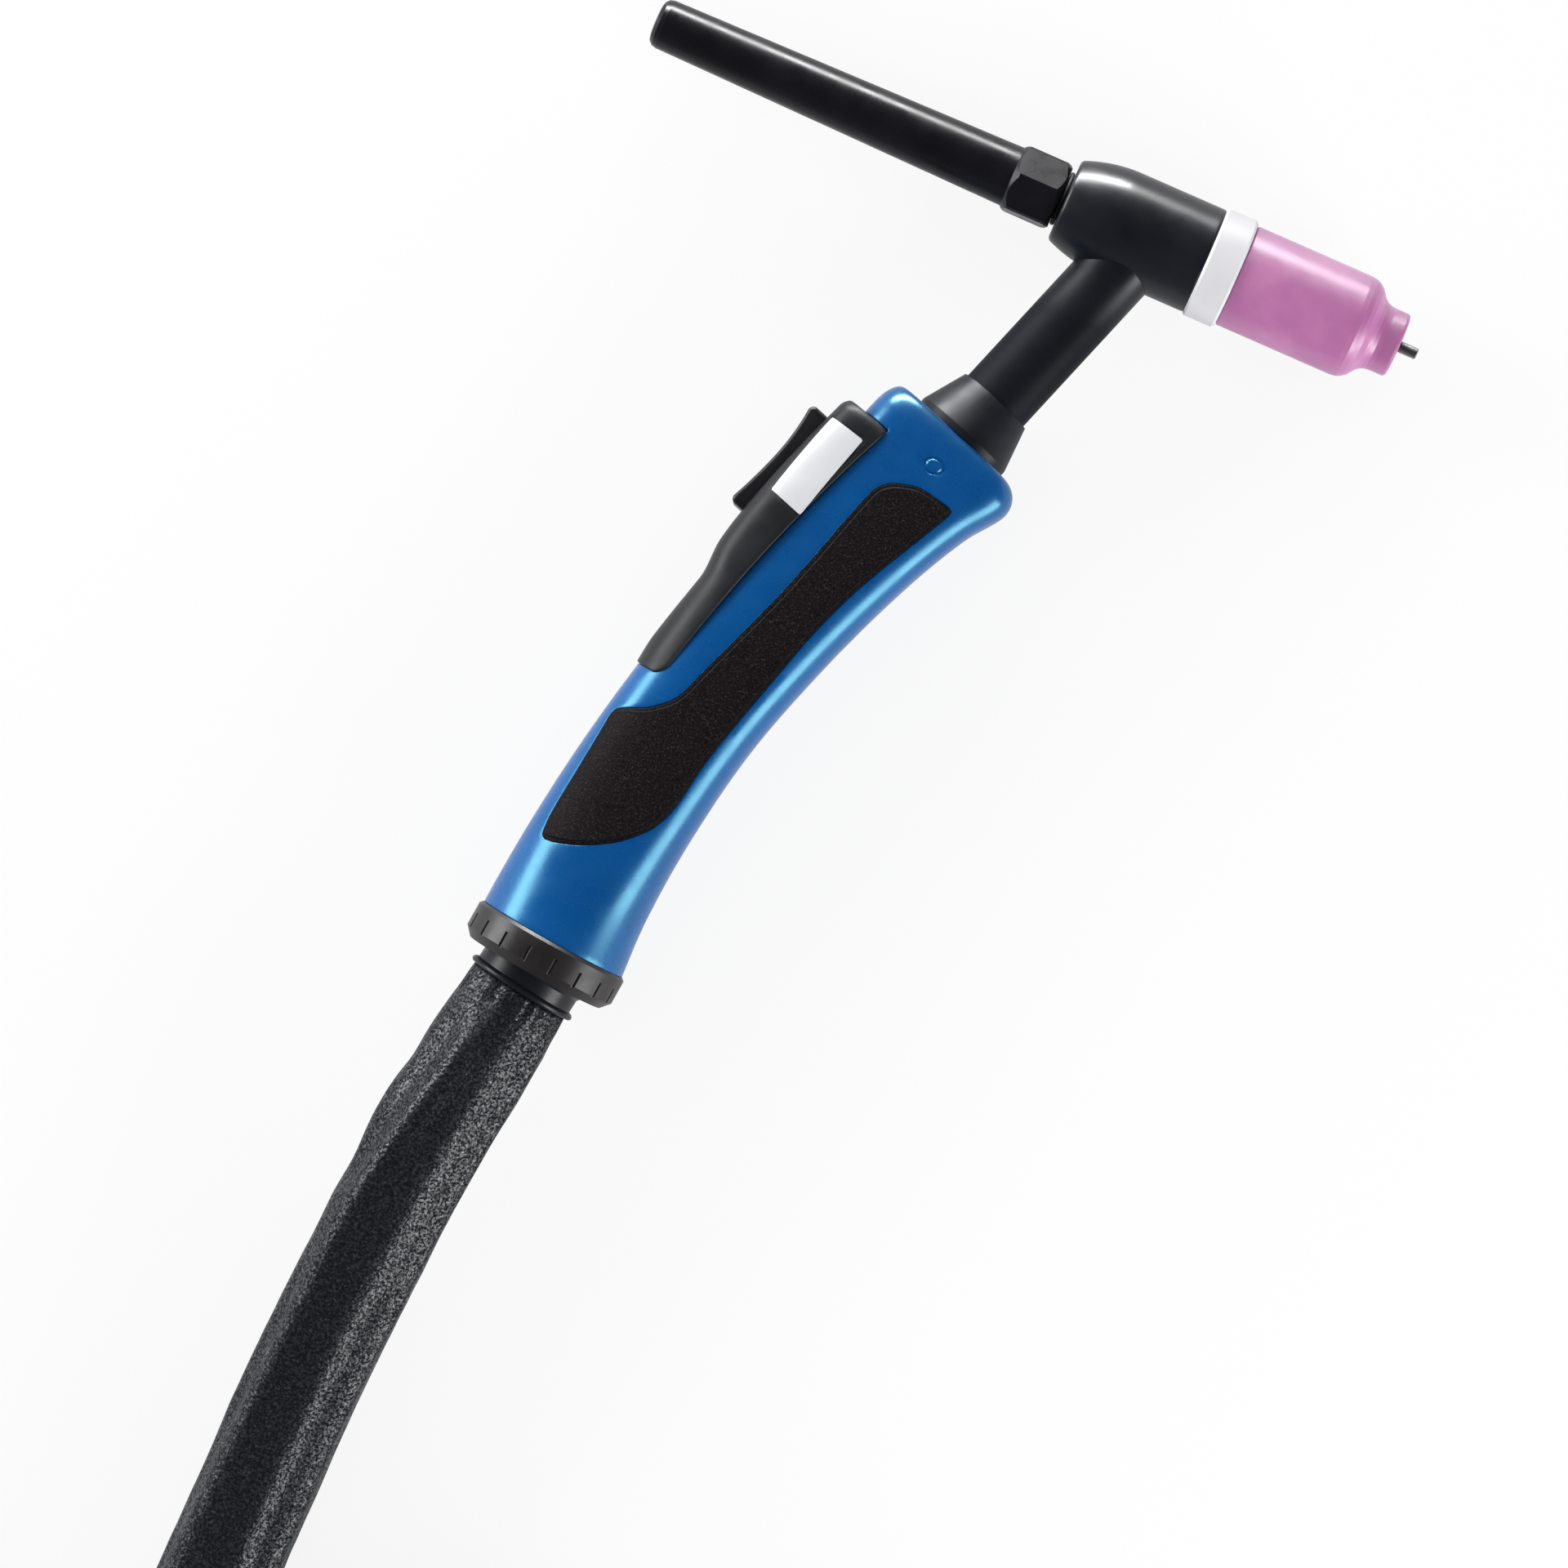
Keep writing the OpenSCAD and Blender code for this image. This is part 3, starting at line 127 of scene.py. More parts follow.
class Nodes:
    """A small builder round the node tree of a material or a world."""

    def __init__(self, owner, space="Object"):
        owner.use_nodes = True
        self.owner, self.tree = owner, owner.node_tree
        self.bsdf = self.tree.nodes.get("Principled BSDF")
        self.coords = self.add("TexCoord").outputs[space]

    def add(self, kind, inputs=None, **values):
        node = self.tree.nodes.new("ShaderNode" + kind)
        for key, value in values.items():
            setattr(node, key, value)
        for key, value in (inputs or {}).items():
            self.feed(node.inputs[key], value)
        return node

    def feed(self, socket, value):
        """Links a node's output to a socket, or sets the socket's own value."""
        if isinstance(value, bpy.types.NodeSocket):
            self.tree.links.new(value, socket)
        else:
            socket.default_value = value

    def set(self, **values):
        for key, value in values.items():
            self.feed(self.bsdf.inputs[key.replace("_", " ")], value)

    def noise(self, scale, detail=4, rough=0.55, stretch=None):
        """Noise over the object, drawn out along x if it is stretched by a vector."""
        vector = self.coords
        if stretch:
            inputs = {"Scale": stretch, "Vector": self.coords}
            vector = self.add("Mapping", inputs).outputs["Vector"]
        inputs = {"Scale": scale, "Detail": detail, "Roughness": rough, "Vector": vector}
        return self.add("TexNoise", inputs).outputs["Fac"]

    def cells(self, scale, feature="F1"):
        inputs = {"Scale": scale, "Vector": self.coords}
        return self.add("TexVoronoi", inputs, feature=feature).outputs["Distance"]

    def ramp(self, fac, *stops):
        """Stops are (place, colour): an 8-bit display colour, or one linear grey level."""
        node = self.add("ValToRGB", {"Fac": fac})
        elements = node.color_ramp.elements
        while len(elements) < len(stops):
            elements.new(0.5)
        for element, (place, colour) in zip(elements, stops):
            element.position = place
            linear = srgb(*colour) if isinstance(colour, tuple) else (colour,) * 3
            element.color = (*linear, 1)
        return node.outputs["Color"]

    def span(self, fac, low, high, from_low=0.3, from_high=0.7):
        inputs = {"Value": fac, "From Min": from_low, "From Max": from_high, "To Min": low, "To Max": high}
        return self.add("MapRange", inputs).outputs["Result"]

    def math(self, operation, a, b):
        return self.add("Math", {0: a, 1: b}, operation=operation).outputs[0]

    def bump(self, height, strength, distance, chain=None):
        inputs = {"Height": height, "Strength": strength, "Distance": distance}
        if chain is not None:
            inputs["Normal"] = chain
        normal = self.add("Bump", inputs).outputs["Normal"]
        self.set(Normal=normal)
        return normal

    def mix_out(self, share, first, second, out):
        """Sends a mix of two shaders to the output node."""
        mix = self.add("MixShader", {0: share, 1: first.outputs[0], 2: second.outputs[0]})
        self.feed(self.tree.nodes[out].inputs["Surface"], mix.outputs[0])


def material(name):
    """A new material with its builder."""
    return Nodes(bpy.data.materials.new(name))


def moulded(name, colour, colour2, rough, specular, grain=360, depth=4e-5, strength=0.1):
    """Moulded plastic or rubber: slow colour drift, uneven gloss and a fine grain."""
    n = material(name)
    n.set(Base_Color=n.ramp(n.noise(38, 3), (0.3, colour), (0.7, colour2)), Specular_IOR_Level=specular)
    if rough:
        n.set(Roughness=n.span(n.noise(150, 3), *rough))
    n.bump(n.noise(grain, 1, 0.5), strength, depth)
    return n


# name, two colours, roughness, specular level; scale, depth and strength of the grain
MOULDED = {
    "head": ("black_head_rubber", (14, 16, 21), (23, 25, 33), None, 0.5, 300, 5e-5, 0.12),
    "cap": ("black_cap_plastic", (13, 13, 17), (21, 21, 27), (0.24, 0.34), 0.22, 260),
    "socket": ("black_socket_plastic", (15, 17, 24), (24, 27, 36), (0.36, 0.48), 0.2, 260),
    "blue": ("blue_shell_plastic", (0, 68, 131), (0, 76, 143), (0.24, 0.32), 0.85, 180, 3e-5, 0.072),
    "module": ("black_switch_plastic", (24, 25, 28), (34, 35, 39), (0.38, 0.5), 0.2, 320, 5e-5, 0.12),
    "rocker": ("black_rocker_plastic", (18, 18, 21), (27, 27, 31), (0.3, 0.42), 0.3, 320),
    "collar": ("brown_black_collar", (22, 19, 20), (37, 33, 34), (0.32, 0.46), 0.4, 240, 6e-5, 0.14),
    "outlet": ("black_outlet_plastic", (20, 21, 25), (32, 33, 38), (0.26, 0.38), 0.2, 300),
    "rubber": ("black_boot_rubber", (20, 20, 22), (30, 30, 33), (0.5, 0.65), 0.5, 220, 8e-5, 0.16),
    "liner": ("liner_plastic", (205, 200, 188), (220, 216, 205), (0.4, 0.5), 0.5),
    "switch_body": ("switch_body_plastic", (40, 44, 52), (52, 56, 66), (0.4, 0.5), 0.5),
    "plunger": ("plunger_plastic", (180, 58, 40), (200, 70, 50), (0.35, 0.45), 0.5),
    "lead": ("lead_jacket", (120, 122, 126), (140, 142, 146), (0.45, 0.55), 0.5),
    "label": ("label_plate", (206, 208, 211), (216, 218, 221), (0.32, 0.42), 0.5, 140, 2e-5, 0.06),
    "ring": ("white_insulator", (206, 206, 210), (218, 218, 221), (0.4, 0.5), 0.3, 180, 4e-5, 0.08)}
# name, two colours, roughness
METALS = {
    "copper": ("drawn_copper", (188, 116, 78), (205, 134, 94), 0.24, 0.4),
    "brass": ("turned_brass", (196, 160, 92), (214, 180, 110), 0.22, 0.38),
    "steel": ("plated_steel", (150, 152, 158), (176, 178, 182), 0.24, 0.4)}


def make_materials():
    m = {key: moulded(*values) for key, values in MOULDED.items()}
    m["blue"].set(Specular_Tint=(0.3, 0.85, 1, 1))
    # the head shines more than the neck below it
    head = m["head"]
    place = head.add("SeparateXYZ", {0: head.coords})
    gloss = head.span(place.outputs["Y"], 0, 1, -0.03, -0.012)
    head.set(Roughness=head.math("ADD", head.span(gloss, 0.42, 0.22, 0, 1),
                                 head.math("MULTIPLY", head.noise(150, 2), 0.16)),
             Specular_IOR_Level=head.span(gloss, 0.06, 0.34, 0, 1))

    n = m["ceramic"] = material("pink_alumina")
    n.set(Base_Color=n.ramp(n.noise(55, 6), (0.25, (167, 92, 149)), (0.5, (178, 104, 159)),
                            (0.75, (192, 120, 171))), Roughness=n.span(n.noise(260, 3), 0.32, 0.46),
          Specular_IOR_Level=0.9, Coat_Weight=0.35, Coat_Roughness=0.3)
    n.bump(n.noise(240, 1, 0.5), 0.12, 6e-5)

    n = m["inlay"] = material("soft_inlay_texture")
    speck = n.noise(2000, 3, 0.75)
    n.set(Base_Color=n.ramp(speck, (0.42, (10, 9, 11)), (0.56, (23, 19, 21)), (0.70, (66, 54, 55))),
          Roughness=n.span(speck, 0.5, 0.8), Specular_IOR_Level=0.06)
    n.bump(n.noise(700, 5, 0.7), 0.5, 1.2e-4, n.bump(n.cells(1500), 0.6, 1.5e-4))

    n = m["tungsten"] = material("ground_tungsten")
    streak = n.noise(1, 6, 0.7, (60, 2600, 2600))
    n.set(Base_Color=n.ramp(streak, (0.3, (104, 104, 108)), (0.7, (150, 149, 152))),
          Roughness=n.span(streak, 0.28, 0.48), Metallic=1)
    n.bump(streak, 0.3, 3e-5)

    for key, (name, colour, colour2, low, high) in METALS.items():
        n = m[key] = material(name)
        brushed = n.noise(1, 5, 0.7, (300, 1400, 1400))
        n.set(Base_Color=n.ramp(n.noise(60), (0.3, colour), (0.7, colour2)),
              Roughness=n.span(brushed, low, high), Metallic=1)
        n.bump(brushed, 0.2, 3e-5)

    n = m["board"] = material("coated_board")
    n.set(Base_Color=n.ramp(n.cells(500), (0.1, (30, 84, 52)), (0.5, (44, 108, 68))),
          Roughness=n.span(n.noise(200), 0.3, 0.45))

    # black grained leather: fine pebbles that glint where the light falls, dull dark hollows; the colour
    # follows the pebbles' height, with painted glints as lighter specks on their tops and painted shade in the
    # hollows
    n = m["leather"] = material("grained_leather")
    grain = n.noise(1250, 3, 0.8)
    n.set(Base_Color=n.ramp(grain, (0.42, (17, 19, 23)), (0.58, (28, 31, 37)), (0.70, (74, 76, 83))),
          Roughness=n.span(grain, 0.55, 0.26, 0.42, 0.62),
          Specular_IOR_Level=n.span(grain, 0.04, 0.75, 0.46, 0.62))
    n.bump(grain, 0.38, 4e-4, n.bump(n.cells(1250, "SMOOTH_F1"), 0.3, 4e-4))

    n = m["cable"] = material("cable_jacket")
    n.set(Base_Color=n.ramp(n.noise(70, 5), (0.3, (22, 22, 24)), (0.7, (33, 33, 36))),
          Roughness=n.span(n.noise(240, 5), 0.4, 0.56))
    n.bump(n.noise(700), 0.35, 1e-4)

    n = m["strap"] = material("woven_strap")
    weave = n.math("MULTIPLY", *(n.add("TexWave", {"Scale": scale, "Vector": n.coords}, wave_type="BANDS",
              bands_direction=way).outputs["Fac"] for way, scale in (("Z", 420), ("DIAGONAL", 300))))
    n.set(Base_Color=n.ramp(weave, (0.1, (30, 30, 33)), (0.8, (62, 62, 67))), Roughness=0.85)
    n.bump(weave, 0.6, 3e-4)
    return {key: nodes.owner for key, nodes in m.items()}


M = make_materials()
# the CAD nodes by material
CAD_LOOKS = {
    "tungsten": "electrode", "ceramic": "gas_nozzle", "ring": "insulator_ring",
    "copper": "collet collet_body neck_tube cable_ferrule", "head": "head_cover",
    "brass": "head_core power_pin contact_pins", "steel": "shell_screws rocker_pin",
    "socket": "neck_socket connector_housing", "cap": "back_cap union_nut",
    "rubber": "cap_o_ring sleeve_end_ring connector_boot", "blue": "shell_upper shell_lower",
    "inlay": "inlay_upper inlay_lower", "module": "module_housing cable_saddle plug_body",
    "label": "label_upper label_lower", "rocker": "rocker", "switch_body": "switch_front switch_rear",
    "plunger": "plunger_front plunger_rear", "board": "switch_board", "lead": "control_lead",
    "cable": "power_cable cable_run cable_coil cable_tail", "collar": "rear_collar",
    "liner": "ball_liner", "outlet": "ball_outlet", "leather": "sleeve_cuff leather_sleeve",
    "strap": "coil_ties"}
for look, names in CAD_LOOKS.items():
    for name in names.split():
        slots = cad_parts[name].data.materials
        slots.clear()
        slots.append(M[look])


# ---------- lines and outlines
def unit(v):
    """Vectors made one long, along the last axis."""
    return v / np.maximum(1e-9, norm(v, axis=-1, keepdims=True))


def around(count):
    """Even angles round a circle."""
    return np.linspace(0, 2 * pi, count, endpoint=False)


def run_of(points):
    """Distance along a line at each of its points."""
    return np.concatenate([[0], np.cumsum(norm(np.diff(points, axis=0), axis=1))])


def hermite(u):
    """Weights of a curve's start, start slope, end and end slope."""
    return (2 * u ** 3 - 3 * u ** 2 + 1, u ** 3 - 2 * u ** 2 + u, -2 * u ** 3 + 3 * u ** 2, u ** 3 - u ** 2)


def ease(x, low=0, high=1):
    """Smooth step from 0 at low to 1 at high."""
    k = np.clip((x - low) / (high - low), 0, 1)
    return k * k * (3 - 2 * k)


def bell(x, centre, width):
    return np.exp(-((x - centre) / width) ** 2)


def bezier(a, b, c, count):
    """A rounded corner from a past b to c."""
    k = np.linspace(0, 1, count)[:, None]
    return (1 - k) ** 2 * a + 2 * k * (1 - k) * b + k ** 2 * c


def table(pairs, x, flat_start=True, flat_end=True):
    """Monotone smooth curve through a table, constant beyond it."""
    px, py = np.array(pairs, float).T
    h, d = np.diff(px), np.diff(py) / np.diff(px)
    m = np.zeros(len(px))
    for i in range(1, len(px) - 1):
        if d[i - 1] * d[i] > 0:
            w1, w2 = 2 * h[i] + h[i - 1], h[i] + 2 * h[i - 1]
            m[i] = (w1 + w2) / (w1 / d[i - 1] + w2 / d[i])
    m[0] = 0 if flat_start else d[0]
    m[-1] = 0 if flat_end else d[-1]
    x = np.clip(np.asarray(x, float), px[0], px[-1])
    i = np.clip(np.searchsorted(px, x, side="right") - 1, 0, len(h) - 1)
    w = hermite((x - px[i]) / h[i])
    return w[0] * py[i] + w[1] * h[i] * m[i] + w[2] * py[i + 1] + w[3] * h[i] * m[i + 1]


def catmull(points, step):
    """A smooth line through points, resampled about every step."""
    p = np.asarray(points, float)
    ext = np.vstack([2 * p[0] - p[1], p, 2 * p[-1] - p[-2]])
    out = []
    for i in range(1, len(ext) - 2):
        a, b, c, d = ext[i - 1:i + 3]
        reach = norm(c - b)
        count = max(2, int(ceil(reach / step)))
        # the tangent at a point halves the angle between its two edges
        start = unit(b - a) + unit(c - b) if i > 1 else c - b
        end = unit(c - b) + unit(d - c) if i < len(ext) - 3 else c - b
        w = hermite(np.linspace(0, 1, count, endpoint=False)[:, None])
        out.append(w[0] * b + w[1] * unit(start) * reach + w[2] * c + w[3] * unit(end) * reach)
    return np.vstack(out + [p[-1:]])


def even(path, step):
    """The same line with its points at even distances, slightly smoothed."""
    run = run_of(path)
    k = np.linspace(0, run[-1], int(round(run[-1] / step)) + 1)
    out = np.stack([np.interp(k, run, path[:, i]) for i in range(3)], -1)
    for _ in range(3):
        out[2:-2] = 0.25 * out[1:-3] + 0.5 * out[2:-2] + 0.25 * out[3:-1]
    return out


def following(loop):
    """The next point of a closed outline, for each of its points."""
    return np.roll(loop, -1, axis=0)


def sides(loop):
    """Unit vectors across a closed outline, on its left."""
    tangent = unit(following(loop) - np.roll(loop, 1, axis=0))
    return np.stack([-tangent[:, 1], tangent[:, 0]], -1)


def inward(loop):
    """Unit vectors across a closed outline, to its inside."""
    after = following(loop)
    return sides(loop) * np.sign((loop[:, 0] * after[:, 1] - loop[:, 1] * after[:, 0]).sum())


def resample(loop, step):
    """Points along a closed outline about every step, keeping its corners."""
    out = []
    for a, b in zip(loop, following(loop)):
        n = max(1, int(round(norm(b - a) / step)))
        out.append(a + (b - a) * np.linspace(0, 1, n, endpoint=False)[:, None])
    return np.vstack(out)


def rounded(points, radii, step):
    """A closed outline with its corners rounded; radii is one number or one for each corner."""
    p = np.asarray(points, float)
    radii = np.broadcast_to(np.asarray(radii, float), len(p))
    out = []
    for i in range(len(p)):
        a, b, c = p[i - 1], p[i], p[(i + 1) % len(p)]
        lu, lv = norm(a - b), norm(c - b)
        u, v = (a - b) / lu, (c - b) / lv
        ang = acos(max(-1, min(1, float(u @ v))))
        cut = min(radii[i] / tan(ang / 2), 0.48 * lu, 0.48 * lv) if ang < 3.1 else 0
        if cut < 0.05:
            out.append(b[None])
            continue
        out.append(bezier(b + u * cut, b, b + v * cut, 7))
    return resample(np.vstack(out), step)


def smooth_outline(p, step=0.8):
    """Soft closed curve near an outline (corner cutting), evenly resampled."""
    for _ in range(3):
        nxt = following(p)
        p = np.stack([0.82 * p + 0.18 * nxt, 0.18 * p + 0.82 * nxt], 1).reshape(-1, 2)
    p = np.vstack([p, p[:1]])
    run = run_of(p)
    k = np.linspace(0, run[-1], int(run[-1] / step), endpoint=False)
    return np.stack([np.interp(k, run, p[:, 0]), np.interp(k, run, p[:, 1])], -1)


def seg_distance(points, loops, batch=4000):
    """Distance of each point to the nearest edge of closed loops."""
    best = np.full(len(points), 1e9)
    for loop in loops:
        ab = following(loop) - loop
        length = np.maximum(1e-12, (ab ** 2).sum(1))
        for k in range(0, len(points), batch):
            ap = points[k:k + batch, None] - loop
            u = np.clip((ap * ab).sum(2) / length, 0, 1)
            d = norm(ap - u[:, :, None] * ab, axis=2).min(1)
            best[k:k + batch] = np.minimum(best[k:k + batch], d)
    return best


def inside(points, loop, holes=()):
    """Which points lie in a closed outline and in none of its holes, by the even-odd test."""
    x, y = points[:, 0], points[:, 1]
    hit = np.zeros(len(points), bool)
    for (x0, y0), (x1, y1) in zip(loop, following(loop)):
        if y0 != y1:
            hit ^= ((y0 > y) != (y1 > y)) & (x < (x1 - x0) * (y - y0) / (y1 - y0) + x0)
    for hole in holes:
        hit &= ~inside(points, hole)
    return hit


# ---------- mesh helpers
def piece(name, verts, faces, look, body, smooth=True):
    """A mesh object from row-frame points in metres, riding on a body."""
    mesh = bpy.data.meshes.new(name)
    mesh.from_pydata([tuple(v) for v in verts], [], [tuple(map(int, f)) for f in faces])
    mesh.validate()
    mesh.update()
    if smooth:
        mesh.polygons.foreach_set("use_smooth", [len(f.vertices) < 5 for f in mesh.polygons])
    mesh.materials.append(M[look])
    obj = placed(name, mesh)
    if body:
        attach(obj, body)
    return obj


def face_out(obj, joined=None):
    """Turns a closed mesh's faces outward, and joins it into another object's mesh."""
    bm = bmesh.new()
    bm.from_mesh(obj.data)
    bmesh.ops.recalc_face_normals(bm, faces=bm.faces)
    if joined:
        bm.from_mesh(joined.data)
    bm.to_mesh((joined or obj).data)
    bm.free()


def ring_faces(rings, count, closed=False):
    """Faces of a row of rings: closed into a ring itself, or a tube with two end faces."""
    faces = []
    for k in range(rings if closed else rings - 1):
        for i in range(count):
            m, j = (k + 1) % rings, (i + 1) % count
            faces.append((k * count + i, m * count + i, m * count + j, k * count + j))
    if closed:
        return faces
    return faces + [tuple(range(count)), tuple(reversed(range((rings - 1) * count, rings * count)))]


def tube_points(path, radius, count, first, last):
    """Rings of a tube; radius is a number, or an array of rings by points."""
    d = np.gradient(path, axis=0)
    d[0], d[-1] = first, last
    d = unit(d)
    s = unit(np.cross(d, (0, 0, 1)))
    u = np.cross(s, d)
    a = around(count)[:, None]
    r = np.broadcast_to(radius, (len(path), count))[:, :, None]
    return (path[:, None] + r * (np.cos(a) * s[:, None] + np.sin(a) * u[:, None])).reshape(-1, 3)


# ---------- grip surfaces
WAIST_HALF, NOSE_HALF, BACK_HALF, REAR_HALF = 18, 24.8, 22, 21.9
FRONT_THICK, WAIST_THICK = 17.8, 18.5
NOSE_T = 0.05
NOSE_FADE = [[NOSE_T, 1], [0.12, 0.65], [0.2, 0.45], [0.3, 0.3], [0.45, 0.13], [0.6, 0]]
BACK_SWELL = [[0, 2.6], [0.08, 1], [0.2, 0], [1, 0]]
REAR_RISE = [[0.6, 0], [0.75, 0.15], [0.9, 0.5], [1, 1]]
SQUARENESS = [[0, 4], [0.35, 3.4], [0.7, 2.8], [1, 2]]
MODULE_START, MODULE_END, MODULE_INNER, MODULE_OUTER = 14.2, 105.2, 14.3, 28.4
MODULE_FLANK = [[14.2, 0.8], [57, -1.1], [65.2, -1.9], [77.2, -4.7], [97.2, -4.9], [105.2, -5.7]]
MODULE_SQUARENESS = [[14.2, 6], [65.2, 5], [105.2, 3]]
MODULE_PROUD, MODULE_BEVEL, BEVEL_LEN, TAIL_R = 0.5, 1.4, 3, 5
TAIL_FROM = MODULE_END - TAIL_R
TAIL = [(TAIL_FROM + TAIL_R * sin(a), TAIL_R * (1 - cos(a))) for a in np.linspace(0, pi / 2, 8)]


def halves(t):
    """Half widths of the grip at t: away from the housing, towards it, and across."""
    rise = table(REAR_RISE, t, True, False)
    return (WAIST_HALF + (NOSE_HALF - WAIST_HALF) * table(NOSE_FADE, t) + (REAR_HALF - WAIST_HALF) * rise,
            BACK_HALF + table(BACK_SWELL, t, False) + (REAR_HALF - BACK_HALF) * rise,
            FRONT_THICK + (WAIST_THICK - FRONT_THICK) * table([[0.1, 0], [0.5, 1]], t)
            + (REAR_HALF - WAIST_THICK) * rise)


def module_left(s):
    return MODULE_OUTER + table(MODULE_FLANK, s, False, False)


def section(right, left, thick, n, count, stop=None):
    """Upper half of a superellipse from right to left, evenly spaced, down to an offset."""
    a = np.linspace(0, pi, 6001)
    c = np.cos(a)
    o = np.sign(c) * np.abs(c) ** (2 / n)
    o = o * np.where(o > 0, right, left)
    z = thick * np.abs(np.sin(a)) ** (2 / n)
    if stop is not None:
        keep = o <= stop
        o, z = o[keep], z[keep]
    run = run_of(np.stack([o, z], -1))
    k = np.linspace(0, run[-1], count)
    return np.interp(k, run, o), np.interp(k, run, z), run[-1]


def station_point(t, o, z):
    """A point of the cross section at t: its offset in the torch's plane and its height."""
    p = spine(t)
    c = rad(cut_angle(t))
    return np.stack([p[0] + o * sin(c), p[1] - o * cos(c), z], -1)


class Sheet:
    """A surface given by a grid of points over (q, w), in millimetres, with outward normals."""

    def __init__(self, q, w, grid):
        self.q, self.w, self.grid = q, w, grid
        self.normal = unit(np.cross(np.gradient(grid, w, axis=1), np.gradient(grid, q, axis=0)))

    def at(self, qw, height):
        """Points over the surface at some (q, w)."""
        def cell(line, x):
            i = np.clip(np.searchsorted(line, x, side="right") - 1, 0, len(line) - 2)
            return i, np.clip((x - line[i]) / (line[i + 1] - line[i]), 0, 1)[:, None]
        (i, u), (j, v) = cell(self.q, qw[:, 0]), cell(self.w, qw[:, 1])

        def mix(g):
            return ((g[i, j] * (1 - u) + g[i + 1, j] * u) * (1 - v)
                    + (g[i, j + 1] * (1 - u) + g[i + 1, j + 1] * u) * v)
        return mix(self.grid) + unit(mix(self.normal)) * np.broadcast_to(height, len(qw))[:, None]


FACE, NOSE_ROUND, FRONT_ROUND = 2, 8, 3.6
ROUNDS = np.array([NOSE_ROUND, FRONT_ROUND, FRONT_ROUND])
ROLL = NOSE_ROUND * pi / 2
GIRTH = 62
HOLE_R, FACE_SPAN = 10.6, 10
Q_END = ROLL + GRIP_LEN - FACE - NOSE_ROUND


def q_of(s):
    return s - FACE - NOSE_ROUND + ROLL


def make_grip_sheet():
    """Upper half of the grip: its front face from the neck's hole, the rolled edge, the body."""
    count = 401
    q = np.concatenate([np.linspace(-FACE_SPAN, 0, 9)[:-1], np.linspace(0, ROLL, 25)[:-1],
                        np.linspace(ROLL, Q_END, 260)])
    # the neck's axis in the plane of the face
    t0 = FACE / GRIP_LEN
    c = rad(cut_angle(t0))
    centre_o = (GRIP_FRONT + down(NECK) * FACE - spine(t0)) @ (sin(c), -cos(c))
    rings = []
    for value in q:
        k = max(0, value)
        rolled = k < ROLL
        s = FACE + NOSE_ROUND * (1 - cos(k / NOSE_ROUND)) if rolled else k - q_of(0)
        inset = 1 - sin(k / NOSE_ROUND) if rolled else 0
        t = s / GRIP_LEN
        widths = np.array(halves(t))
        if rolled:
            widths[0] = halves(NOSE_T)[0]
        o, z, _ = section(*(widths - inset * ROUNDS), table(SQUARENESS, t), count)
        if value < 0:
            a = np.arctan2(z, o - centre_o)
            share = -value / FACE_SPAN
            o = o * (1 - share) + (centre_o + HOLE_R * np.cos(a)) * share
            z = z * (1 - share) + HOLE_R * np.sin(a) * share
        rings.append(station_point(t, o, z))
    return Sheet(q, np.linspace(0, GIRTH, count), np.array(rings))


def to_sheet(points):
    """(distance, offset) points seen from the side to (q, w) on the upper half."""
    w = np.linspace(0, GIRTH, 801)
    out = []
    for s, o in points:
        t = s / GRIP_LEN
        across, _, _ = section(*halves(t), table(SQUARENESS, t), len(w))
        out.append((q_of(s), np.interp(-o, -across, w)))
    return np.array(out)


def make_module_sheet():
    """The switch housing's skin, from its upper inner edge round the outside to the lower one."""
    bevelled = MODULE_START + BEVEL_LEN * (1 - np.cos(np.linspace(0, pi / 2, 13)))
    s = np.concatenate([bevelled, np.linspace(MODULE_START + BEVEL_LEN, MODULE_END, 150)[1:]])
    count = 301
    rings, spans = [], []
    for value in s:
        t = value / GRIP_LEN
        bevel = MODULE_BEVEL * max(0, (MODULE_START + BEVEL_LEN - value) / BEVEL_LEN) ** 2
        right, _, thick = halves(t)
        o, z, span = section(right, module_left(value) - bevel, thick + MODULE_PROUD - bevel,
                             table(MODULE_SQUARENESS, value), count, -MODULE_INNER)
        spans.append(span)
        rings.append(station_point(t, np.append(o, o[-2::-1]), np.append(z, -z[-2::-1])))
    half = float(np.mean(spans))
    return Sheet(s, np.linspace(-half, half, 2 * count - 1), np.array(rings))


